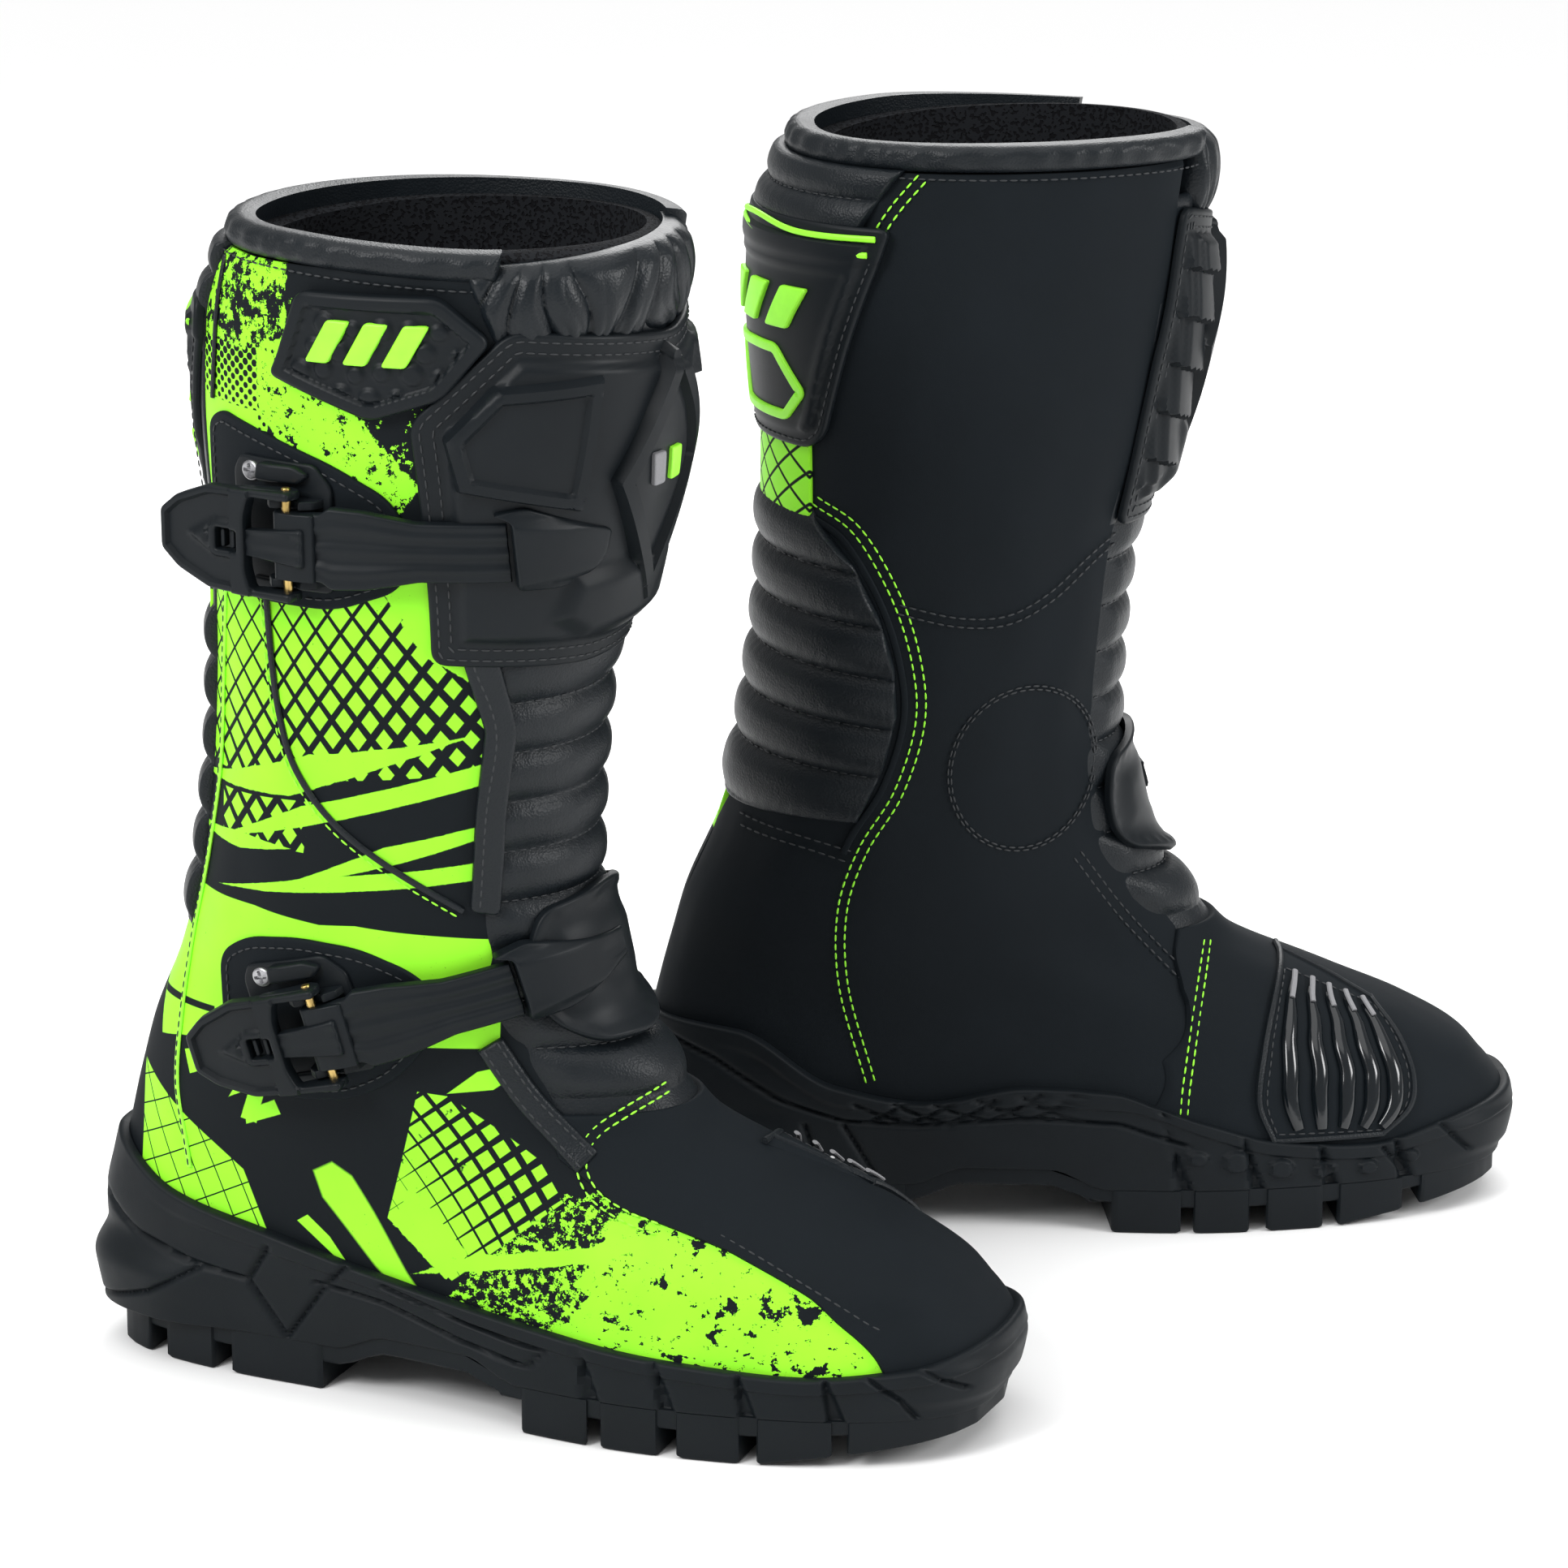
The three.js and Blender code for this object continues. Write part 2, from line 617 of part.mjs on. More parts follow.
function makeBoot(prefix) {
  const boot = new THREE.Group();
  const add = (name, geometry, material) => {
    const mesh = new THREE.Mesh(geometry, FINISHES[material]);
    mesh.name = `${prefix}_${name}`;
    boot.add(mesh);
  };
  add("outsole", outsole(), "rubber");
  add("sole_cup", soleCup(), "rubber");
  add("shank", shank(), "steel");
  add("footbed", footbed(), "board");
  add("liner", liner(), "lining");
  add("toe_puff", toePuff(), "board");
  add("heel_counter", heelCounter(), "board");
  add("vamp", vamp(), "leather");
  add("lateral_panel", lateralPanel(), "printed");
  add("medial_panel", medialPanel(), "leather");
  add("front_bellows", frontBellows(), "leather");
  add("rear_flex_panel", rearFlexPanel(), "leather");
  add("tongue", tongue(), "leather");
  add("collar", collar(), "lining");
  add("shin_plate", shinPlate(), "moulded");
  add("instep_guide", instepGuide(), "moulded");
  add("cuff_plate", cuffPlate(), "moulded");
  add("calf_plate", calfPlate(), "moulded");
  add("shift_pad", shiftPad(), "moulded");
  for (const [name, buckle] of Object.entries(BUCKLES)) {
    add(`${name}_buckle_base`, buckleBase(buckle), "moulded");
    add(`${name}_strap`, strap(buckle), "moulded");
    add(`${name}_lever`, lever(buckle), "moulded");
    add(`${name}_pin`, pin(buckle), "brass");
    add(`${name}_screw`, screw(buckle), "steel");
  }
  add("upper_strap_guide", strapGuide(BUCKLES.upper), "moulded");
  return boot;
}

// A boot with its ankle point at a place on the floor, turned about that point.
function placed(boot, { x, y, turn }) {
  boot.position.set(-ANKLE_X * boot.scale.x, 0, 0);
  const stand = new THREE.Group();
  stand.add(boot);
  stand.rotation.z = radians(turn);
  stand.position.set(x, y, 0);
  return stand;
}

function makePair() {
  const pair = new THREE.Group();
  const right = makeBoot("right");
  const left = makeBoot("left");
  left.scale.y = -1;
  pair.add(placed(right, PLACES.right), placed(left, PLACES.left));
  pair.updateMatrixWorld(true);
  const bounds = new THREE.Box3().setFromObject(pair, true);
  const middle = bounds.getCenter(new THREE.Vector3());
  pair.position.set(-middle.x, -middle.y, -bounds.min.z);
  return pair;
}

export default makePair();
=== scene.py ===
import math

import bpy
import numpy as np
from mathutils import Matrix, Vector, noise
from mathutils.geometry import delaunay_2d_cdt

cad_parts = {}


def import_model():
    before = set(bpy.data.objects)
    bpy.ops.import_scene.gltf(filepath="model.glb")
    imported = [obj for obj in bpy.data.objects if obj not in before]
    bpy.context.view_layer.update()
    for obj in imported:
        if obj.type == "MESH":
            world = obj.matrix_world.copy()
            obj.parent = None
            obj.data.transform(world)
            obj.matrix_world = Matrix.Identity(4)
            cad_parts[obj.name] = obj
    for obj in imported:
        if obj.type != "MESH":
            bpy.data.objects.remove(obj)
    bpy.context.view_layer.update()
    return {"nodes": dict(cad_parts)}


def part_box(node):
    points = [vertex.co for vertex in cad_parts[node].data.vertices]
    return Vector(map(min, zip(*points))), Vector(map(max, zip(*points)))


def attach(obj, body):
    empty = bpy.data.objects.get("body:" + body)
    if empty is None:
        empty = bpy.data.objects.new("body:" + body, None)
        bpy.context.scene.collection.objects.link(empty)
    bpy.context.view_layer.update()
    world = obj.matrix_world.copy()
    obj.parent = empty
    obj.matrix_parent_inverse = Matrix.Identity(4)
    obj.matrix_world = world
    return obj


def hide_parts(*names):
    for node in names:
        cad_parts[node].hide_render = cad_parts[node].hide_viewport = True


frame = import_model()

# Looks for the pair of riding boots: every visible piece, its material, the floor, lights and camera.
#
# Shapes are worked out in one boot's own axes, in millimetres: x from heel to toe, y towards the inner
# side, z up from the floor. The boot is the right one, and the left boot is its mirror image.

# ---------- Boot surface: the CAD model's, with a fuller toe and a back that leans in at the top ----------

SIDE_PROFILE = np.array([
    [20, 8, 316], [45, 4, 320], [65, 3, 309], [80, 6, 286], [92, 9, 260], [112, 14, 218], [130, 19, 203],
    [160, 32, 182], [200, 42, 176], [250, 48, 179], [300, 49, 190], [350, 46, 201], [374, 47, 203], [412,
                                                                                                     60, 207],
], float)
HALF_WIDTHS = np.array([
    [20, 38, 56], [60, 40, 52], [92, 41, 42], [112, 43, 38], [150, 48, 40], [220, 56, 48], [320, 60, 58],
    [412, 62, 62],
], float)
SQUARENESS = np.array([[20, 2.9], [60, 2.7], [110, 2.3], [200, 2.15]], float)
CUP_EDGE = np.array([
    [5, 88, 88], [35, 74, 86], [72, 67, 66], [104, 60, 60], [142, 52, 66], [177, 46, 64], [204, 42, 51],
    [227, 40, 42], [262, 38, 38], [297, 42, 46], [320, 50, 50],
], float)
BLEND_FROM = 80
BLEND_LENGTH = 140
ANKLE_X = 150
SOLE_SAVING = 13        # the finished foot stands this much lower than its heights on the last
SOLE_ZONE = 60
PLACES = {"right": (-91, -91, -19), "left": (91, 91, 5)}
PIN_HEIGHT = 9.5
BUCKLES = {
    "upper": {"pin": (101, 313), "hinge": (163, 313), "front": 184},
    "lower": {"pin": (102, 146), "hinge": (158, 161), "front": 178},
}


def through_stations(stations, column):
    """A smooth curve through the stations that never overshoots them."""
    x, y = stations[:, 0], stations[:, column]
    secant = np.diff(y) / np.diff(x)
    slope = np.concatenate([[secant[0]], np.zeros(len(x) - 2), [secant[-1]]])
    same = secant[:-1] * secant[1:] > 0
    slope[1:-1][same] = 2 * secant[:-1][same] * secant[1:][same] / (secant[:-1] + secant[1:])[same]

    def curve(value):
        t = np.clip(value, x[0], x[-1])
        i = np.clip(np.searchsorted(x, t, side="left") - 1, 0, len(x) - 2)
        h = x[i + 1] - x[i]
        s = (t - x[i]) / h
        r = 1 - s
        ends = y[i] * r * r * (1 + 2 * s) + y[i + 1] * s * s * (3 - 2 * s)
        return ends + h * slope[i] * s * r * r - h * slope[i + 1] * s * s * r

    return curve


back_edge = through_stations(SIDE_PROFILE, 1)
fore_edge = through_stations(SIDE_PROFILE, 2)
rear_half_width = through_stations(HALF_WIDTHS, 1)
front_half_width = through_stations(HALF_WIDTHS, 2)
squareness = through_stations(SQUARENESS, 1)
outer_cup_edge = through_stations(CUP_EDGE, 1)
inner_cup_edge = through_stations(CUP_EDGE, 2)


def smoothstep(value, low, high):
    t = np.clip((value - low) / (high - low), 0, 1)
    return t * t * (3 - 2 * t)


def signed_power(value, power):
    return np.sign(value) * np.abs(value) ** power


def above_floor(height):
    return height - SOLE_SAVING * np.minimum(height / SOLE_ZONE, 1)


def on_last(level):
    """The height on the last of a level above the floor."""
    foot = SOLE_ZONE - SOLE_SAVING
    return np.where(level < foot, level * SOLE_ZONE / foot, level + SOLE_SAVING)


def surface(angle, height):
    """Points of the leather surface. Angle 0 is the front, 90 the outer side, 180 the heel."""
    angle, height = np.broadcast_arrays(np.asarray(angle, float), np.asarray(height, float))
    power = 2 / squareness(height)
    back, front = back_edge(height), fore_edge(height)
    x = (back + front) / 2 + (front - back) / 2 * signed_power(np.cos(np.radians(angle)), power)
    blend = smoothstep(x, BLEND_FROM, BLEND_FROM + BLEND_LENGTH)
    half_width = rear_half_width(height) * (1 - blend) + front_half_width(height) * blend
    y = -half_width * signed_power(np.sin(np.radians(angle)), power)
    return np.stack([x, y, above_floor(height)], -1)


def normals(angle, height):
    around = surface(angle + 1.5, height) - surface(angle - 1.5, height)
    up = surface(angle, height + 2) - surface(angle, height - 2)
    n = np.cross(up, around)
    return n / np.linalg.norm(n, axis=-1, keepdims=True)


def lifted(angle, height, distance):
    distance = np.asarray(distance, float)
    return surface(angle, height) + normals(np.asarray(angle, float),
                                            np.asarray(height, float)) * distance[..., None]


def angle_at(x, height):
    back, front = back_edge(height), fore_edge(height)
    along = np.clip((2 * x - back - front) / (front - back), -1, 1)
    return np.degrees(np.arccos(signed_power(along, squareness(height) / 2)))


def cup_edge(angle):
    x = surface(angle, 50)[..., 0]
    return np.where(np.sin(np.radians(angle)) >= 0, outer_cup_edge(x), inner_cup_edge(x))


def outer(x, height):
    return float(angle_at(x, height)), height


def inner(x, height):
    return -float(angle_at(x, height)), height


# Charts: flat coordinates in millimetres that lie on the surface, turned into angle and height.
FRONT_MM = 1.15     # millimetres round the shaft for one degree


def outer_chart(p, q):
    return angle_at(p, q), q


def inner_chart(p, q):
    return -angle_at(p, q), q


def front_chart(p, q):
    return p / FRONT_MM, q


def rear_chart(p, q):
    return 180 + p / FRONT_MM, q


# ---------- Placing ----------


def place_in_row(points, side, shift=(0, 0, 0)):
    """Boot points in millimetres to row points in metres."""
    x0, y0, turn = PLACES[side]
    mirror = 1 if side == "right" else -1
    c, s = math.cos(math.radians(turn)), math.sin(math.radians(turn))
    x = points[..., 0] - ANKLE_X
    y = points[..., 1] * mirror
    placed = np.stack([x0 + c * x - s * y, y0 + s * x + c * y, points[..., 2]], -1)
    return placed / 1000 + np.asarray(shift)


def buckle_axes(buckle):
    """Origin on the pin, then the directions along the strap, along the pin and outwards."""
    angle, height = outer(*buckle["pin"])
    normal = normals(np.float64(angle), np.float64(height))
    origin = surface(angle, height)
    forward = surface(*outer(*buckle["hinge"])) - origin
    forward -= normal * forward.dot(normal)
    forward /= np.linalg.norm(forward)
    return origin + normal * PIN_HEIGHT, forward, np.cross(normal, forward), normal


def middle_of(node):
    low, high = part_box(node)
    return (np.array(low) + np.array(high)) / 2


ROW_SHIFT = middle_of("right_upper_pin") - place_in_row(buckle_axes(BUCKLES["upper"])[0], "right")

# ---------- Meshes ----------


def mesh_piece(name, side, body, points, faces, material, replaces=(), sharp=40, chart=None):
    """A finished mesh object from boot points, riding on its body. It keeps each point's boot place in
    the attribute boot_mm, which the materials read."""
    points = np.asarray(points, float)
    mesh = bpy.data.meshes.new(f"{side}_{name}")
    if side == "left":
        faces = [tuple(reversed(f)) for f in faces]
    mesh.from_pydata(place_in_row(points, side, ROW_SHIFT).tolist(), [], faces)
    mesh.update()
    place = mesh.attributes.new("boot_mm", "FLOAT_VECTOR", "POINT")
    spots = np.array(points if chart is None else chart)
    if chart is None:
        spots[:, 2] = on_last(spots[:, 2])
    place.data.foreach_set("vector", spots.astype(np.float32).ravel())
    mesh.shade_smooth()
    mesh.set_sharp_from_angle(angle=math.radians(sharp))
    piece = bpy.data.objects.new(f"{side}_{name}", mesh)
    bpy.context.scene.collection.objects.link(piece)
    mesh.materials.append(MATERIALS[material])
    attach(piece, f"{side}_{body}")
    if replaces:
        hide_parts(*[f"{side}_{node}" for node in replaces])
    return piece


def merged(parts):
    """Several (points, faces) lists as one."""
    points, faces, count = [], [], 0
    for part_points, part_faces in parts:
        points.append(np.asarray(part_points, float).reshape(-1, 3))
        faces += [tuple(i + count for i in f) for f in part_faces]
        count += len(points[-1])
    return np.concatenate(points), faces


def tight_ends(count, amount=0.6):
    """Steps from 0 to 1 that lie closer together near both ends."""
    t = np.linspace(0, 1, count + 1)
    return t + amount * ((1 - np.cos(math.pi * t)) / 2 - t)


def along_edge(corners, t):
    corners = np.asarray(corners, float)
    steps = np.linspace(0, 1, len(corners))
    return np.interp(t, steps, corners[:, 0]), np.interp(t, steps, corners[:, 1])


def between(left, right, to_cup=None):
    """Fills the space between two edges of (angle, height) corners, each from top to bottom. With
    to_cup, the lowest row runs that far behind the sole cup's edge."""
    def place(u, v):
        (la, lz), (ra, rz) = along_edge(left, v), along_edge(right, v)
        angle, height = la + (ra - la) * u, lz + (rz - lz) * u
        if to_cup is not None:
            (la1, lz1), (ra1, rz1) = left[-1], right[-1]
            low_angle, low_height = la1 + (ra1 - la1) * u, lz1 + (rz1 - lz1) * u
            height = height + (cup_edge(low_angle) - to_cup - low_height) * v * v
        return angle, height
    return place


def edge_distance(points, ring):
    """How far each point of a grid lies from the grid's rim, measured along the surface."""
    def run(axis):
        step = np.linalg.norm(np.diff(points, axis=axis), axis=-1)
        total = np.cumsum(step, axis=axis)
        pad = np.zeros_like(np.take(total, [0], axis=axis))
        start = np.concatenate([pad, total], axis=axis)
        return np.minimum(start, np.take(start, [-1], axis=axis) - start)
    down = run(0)
    return down if ring else np.minimum(down, run(1))


def rounding(distance, radius):
    """Height of a rounded edge, from 0 at the rim to 1 at radius."""
    t = np.clip(distance / radius, 0, 1)
    return np.sqrt(np.clip(1 - (1 - t) ** 2, 0, 1))


def shell(place, low, high, columns, rows, ring=False, edge=1.2, lift=None):
    """A closed curved shell from a (u, v) grid. low and high are distances from the surface, edge is the
    radius of the rim, and lift(angle, height, u, v) adds relief to the outside."""
    u = np.linspace(0, 1, columns + 1)[:-1] if ring else tight_ends(columns)
    v = tight_ends(rows)
    U, V = np.meshgrid(u, v)
    angle, height = place(U, V)
    base = surface(angle, height)
    rim = rounding(edge_distance(base, ring), edge)
    top = high - min(edge, 0.75 * (high - low)) * (1 - rim)
    if lift is not None:
        top = top + lift(angle, height, U, V) * rim
    n = normals(angle, height)
    outside = base + n * top[..., None]
    inside = base + n * low
    grid = np.arange(outside.shape[0] * outside.shape[1]).reshape(outside.shape[:2])
    count = grid.size
    faces = []

    def quads(a, b, c, d):
        faces.extend(zip(a.ravel().tolist(), b.ravel().tolist(), c.ravel().tolist(), d.ravel().tolist()))

    wide = np.concatenate([grid, grid[:, :1]], 1) if ring else grid
    a, b, c, d = wide[:-1, :-1], wide[:-1, 1:], wide[1:, 1:], wide[1:, :-1]
    quads(a, b, c, d)
    quads(a + count, d + count, c + count, b + count)
    quads(wide[0, :-1], wide[0, :-1] + count, wide[0, 1:] + count, wide[0, 1:])
    quads(wide[-1, :-1], wide[-1, 1:], wide[-1, 1:] + count, wide[-1, :-1] + count)
    if not ring:
        quads(grid[:-1, 0], grid[1:, 0], grid[1:, 0] + count, grid[:-1, 0] + count)
        quads(grid[:-1, -1], grid[:-1, -1] + count, grid[1:, -1] + count, grid[1:, -1])
    points = np.concatenate([outside.reshape(-1, 3), inside.reshape(-1, 3)])
    return points, facing_out(points, faces)


def facing_out(points, faces):
    """The same faces, turned so that the closed mesh faces out."""
    corners = np.array([f[:3] for f in faces])
    a, b, c = points[corners[:, 0]], points[corners[:, 1]], points[corners[:, 2]]
    volume = np.einsum("ij,ij->", a, np.cross(b, c))
    quads = [f for f in faces if len(f) == 4]
    if quads:
        q = np.array(quads)
        volume += np.einsum("ij,ij->", points[q[:, 0]], np.cross(points[q[:, 2]], points[q[:, 3]]))
    return faces if volume > 0 else [tuple(reversed(f)) for f in faces]


# ---------- Outlines and slabs ----------


def filleted(corners, radius, step=1.0):
    """A closed outline with its corners rounded, as evenly spaced points."""
    corners = np.asarray(corners, float)
    corners = corners[np.linalg.norm(corners - np.roll(corners, 1, 0), axis=1) > 0.2]
    points = []
    count = len(corners)
    for i in range(count):
        here, before, after = corners[i], corners[i - 1], corners[(i + 1) % count]
        to_before, to_after = before - here, after - here
        reach = min(radius, np.linalg.norm(to_before) * 0.45, np.linalg.norm(to_after) * 0.45)
        start = here + to_before / np.linalg.norm(to_before) * reach
        end = here + to_after / np.linalg.norm(to_after) * reach
        t = np.linspace(0, 1, 7)[:, None]
        points.append((1 - t) ** 2 * start + 2 * t * (1 - t) * here + t ** 2 * end)
    return evenly(np.concatenate(points), step, closed=True)


def evenly(points, step, closed=False):
    """Points at even steps along a chain."""
    points = np.asarray(points, float)
    if closed:
        points = np.concatenate([points, points[:1]])
    length = np.concatenate([[0], np.cumsum(np.linalg.norm(np.diff(points, axis=0), axis=1))])
    count = max(int(round(length[-1] / step)), 3)
    stations = np.linspace(0, length[-1], count + 1)
    if closed:
        stations = stations[:-1]
    return np.stack([np.interp(stations, length, points[:, k]) for k in range(points.shape[1])], 1)


def smooth_line(corners, step=1.0):
    """A smooth open curve through corners, at even steps."""
    corners = np.asarray(corners, float)
    padded = np.concatenate([[2 * corners[0] - corners[1]], corners, [2 * corners[-1] - corners[-2]]])
    t = np.linspace(0, 1, 12, endpoint=False)[:, None]
    points = []
    for a, b, c, d in zip(padded, padded[1:], padded[2:], padded[3:]):
        points.append(0.5 * (2 * b + (c - a) * t + (2 * a - 5 * b + 4 * c - d) * t ** 2
                             + (3 * b - a - 3 * c + d) * t ** 3))
    return evenly(np.concatenate(points + [corners[-1:]]), step)


def distance_to(points, chain, closed=True):
    """Shortest distance from each point to a chain of segments."""
    start = np.asarray(chain, float)
    end = np.roll(start, -1, 0) if closed else start[1:]
    start = start if closed else start[:-1]
    best = np.full(len(points), np.inf)
    for a, b in zip(start, end):
        ab = b - a
        t = np.clip(((points - a) @ ab) / max(ab @ ab, 1e-12), 0, 1)
        best = np.minimum(best, np.linalg.norm(points - a - t[:, None] * ab, axis=1))
    return best


def inside(points, outline):
    """True where a point lies inside a closed outline."""
    x, y = points[:, 0], points[:, 1]
    result = np.zeros(len(points), bool)
    for (x1, y1), (x2, y2) in zip(outline, np.roll(outline, -1, 0)):
        if y1 == y2:
            continue
        crosses = ((y1 > y) != (y2 > y)) & (x < (x2 - x1) * (y - y1) / (y2 - y1) + x1)
        result ^= crosses
    return result


def inset(outline, distance):
    """The outline moved inwards."""
    outline = np.asarray(outline, float)
    tangent = np.roll(outline, -1, 0) - np.roll(outline, 1, 0)
    tangent /= np.linalg.norm(tangent, axis=1, keepdims=True)
    normal = np.stack([-tangent[:, 1], tangent[:, 0]], 1)
    area = np.sum(outline[:, 0] * np.roll(outline[:, 1], -1) - np.roll(outline[:, 0], -1) * outline[:, 1])
    return outline + normal * distance * (1 if area > 0 else -1)


def triangulated(outline, holes=(), spacing=2.5, rings=(0.3, 0.8, 1.6), extra=()):
    """Points and triangles that fill an outline: rings of points near its edges and an even grid inside."""
    loops = [np.asarray(outline, float)] + [np.asarray(h, float) for h in holes]
    points = [p for loop in loops for p in loop]
    edges, start = [], 0
    for loop in loops:
        edges += [(start + i, start + (i + 1) % len(loop)) for i in range(len(loop))]
        start += len(loop)
    candidates = []
    for depth in rings:
        for k, loop in enumerate(loops):
            moved = inset(loop, depth if k == 0 else -depth)
            candidates.append((moved, depth * 0.85))
    low, high = loops[0].min(0), loops[0].max(0)
    gx, gy = np.meshgrid(np.arange(low[0], high[0], spacing), np.arange(low[1], high[1], spacing * 0.87))
    gx = gx + (np.arange(gx.shape[0]) % 2)[:, None] * spacing / 2
    grid = np.stack([gx.ravel(), gy.ravel()], 1)
    for row in extra:
        grid = grid[distance_to(grid, row, closed=False) > 0.45 * spacing]
    candidates.append((grid, rings[-1] + spacing * 0.5))
    candidates += [(np.asarray(e, float), 0.4) for e in extra]
    for spots, clearance in candidates:
        keep = inside(spots, loops[0])
        for hole in loops[1:]:
            keep &= ~inside(spots, hole)
        spots = spots[keep]
        if len(spots):
            gap = np.min([distance_to(spots, loop) for loop in loops], axis=0)
            points += list(spots[gap > clearance])
    result = delaunay_2d_cdt([Vector(p) for p in points], edges, [], 0, 1e-4)
    flat = np.array([(v.x, v.y) for v in result[0]])
    triangles = np.array(result[2])
    middles = flat[triangles].mean(1)
    keep = inside(middles, loops[0])
    for hole in loops[1:]:
        keep &= ~inside(middles, hole)
    return flat, triangles[keep], loops


def slab(outline, mapping, low, high, edge=1.2, holes=(), spacing=2.5, relief=None, extra=()):
    """A closed plate over an outline. mapping(p, q, h) gives its points in space, and the top is rounded
    off towards every edge. relief(p, q, d) adds to the height, where d is the distance to the edge."""
    rings = (edge * 0.12, edge * 0.4, edge * 0.8, edge * 1.15)
    flat, triangles, loops = triangulated(outline, holes, spacing, rings, extra)
    gap = np.min([distance_to(flat, loop) for loop in loops], axis=0)
    height = high - min(edge, 0.7 * (high - low)) * (1 - rounding(gap, edge))
    if relief is not None:
        height = height + relief(flat[:, 0], flat[:, 1], gap)
    top = mapping(flat[:, 0], flat[:, 1], height)
    bottom = mapping(flat[:, 0], flat[:, 1], np.full(len(flat), float(low)))
    count = len(flat)
    edge_use = {}
    for a, b, c in triangles.tolist():
        for e in ((a, b), (b, c), (c, a)):
            edge_use[e] = edge_use.get(e, 0) + 1
    faces = [tuple(t) for t in triangles.tolist()]
    faces += [(c + count, b + count, a + count) for a, b, c in triangles.tolist()]
    for a, b in edge_use:
        if (b, a) not in edge_use:
            faces.append((b, a, a + count, b + count))
    points = np.concatenate([top, bottom])
    return points, facing_out(points, faces)


def on_surface(chart, base=0.0):
    def mapping(p, q, h):
        angle, height = chart(p, q)
        return lifted(angle, height, base + h)
    return mapping


# ---------- Thread ----------

STITCH_RINGS = [(-1.0, 0.0), (-0.86, 0.62), (-0.45, 1.0), (0.45, 1.0), (0.86, 0.62), (1.0, 0.0)]
STITCH_SIDES = 6


def stitches(path, up, pitch=3.5, length=2.7, radius=0.33, sink=0.1):
    """Short rounded threads laid end to end along a path in space."""
    path, up = np.asarray(path, float), np.asarray(up, float)
    run = np.concatenate([[0], np.cumsum(np.linalg.norm(np.diff(path, axis=0), axis=1))])
    count = max(int(run[-1] / pitch), 1)
    middles = (np.arange(count) + 0.5) * run[-1] / count
    sample = lambda values, t: np.stack([np.interp(t, run, values[:, k]) for k in range(3)], 1)
    centre = sample(path, middles)
    starts, ends = np.maximum(middles - length / 2, 0), np.minimum(middles + length / 2, run[-1])
    ahead = sample(path, ends) - sample(path, starts)
    ahead /= np.linalg.norm(ahead, axis=1, keepdims=True)
    out = sample(up, middles)
    out /= np.linalg.norm(out, axis=1, keepdims=True)
    across = np.cross(ahead, out)
    turns = np.arange(STITCH_SIDES) * 2 * math.pi / STITCH_SIDES
    rings = []
    for position, width in STITCH_RINGS:
        for turn in turns:
            arch = 0.35 * (1 - position ** 2) - sink
            rings.append((position * length / 2, width * radius * math.cos(turn),
                          width * radius * (math.sin(turn) * 0.8 + arch)))
    rings = np.array(rings)
    points = (centre[:, None] + rings[None, :, :1] * ahead[:, None] + rings[None, :, 1:2] * across[:, None]
              + rings[None, :, 2:] * out[:, None])
    per = len(rings)
    faces = []
    for ring in range(len(STITCH_RINGS) - 1):
        for k in range(STITCH_SIDES):
            n = (k + 1) % STITCH_SIDES
            low, high = ring * STITCH_SIDES, (ring + 1) * STITCH_SIDES
            faces.append((low + k, low + n, high + n, high + k))
    everything = [tuple(i + s * per for i in f) for s in range(count) for f in faces]
    return points.reshape(-1, 3), everything


def surface_path(chart, line, lift):
    """A line drawn in a chart, as points in space and the directions away from the surface."""
    line = np.asarray(line, float)
    angle, height = chart(line[:, 0], line[:, 1])
    return lifted(angle, height, np.full(len(line), float(lift))), normals(angle, height)


def seam(chart, line, lift, **settings):
    return stitches(*surface_path(chart, line, lift), **settings)


def beside(line, distance):
    """A line moved sideways in its chart."""
    line = np.asarray(line, float)
    tangent = np.gradient(line, axis=0)
    tangent /= np.linalg.norm(tangent, axis=1, keepdims=True)
    return line + np.stack([-tangent[:, 1], tangent[:, 0]], 1) * distance


def tube(path, up, radius, sides=8, flat=1.0):
    """A round cord along a path in space, closed at both ends."""
    path, up = np.asarray(path, float), np.asarray(up, float)
    ahead = np.gradient(path, axis=0)
    ahead /= np.linalg.norm(ahead, axis=1, keepdims=True)
    across = np.cross(ahead, up)
    across /= np.linalg.norm(across, axis=1, keepdims=True)
    out = np.cross(across, ahead)
    turns = np.arange(sides) * 2 * math.pi / sides
    radius = np.broadcast_to(radius, len(path))[:, None, None]
    ring = np.cos(turns)[None, :, None] * across[:, None] + flat * np.sin(turns)[None, :, None] * out[:, None]
    points = (path[:, None] + ring * radius).reshape(-1, 3)
    faces = []
    for i in range(len(path) - 1):
        for k in range(sides):
            n = (k + 1) % sides
            faces.append((i * sides + k, i * sides + n, (i + 1) * sides + n, (i + 1) * sides + k))
    last = (len(path) - 1) * sides
    faces.append(tuple(range(sides)))
    faces.append(tuple(last + k for k in reversed(range(sides))))
    return points, facing_out(points, faces)


# ---------- Materials ----------


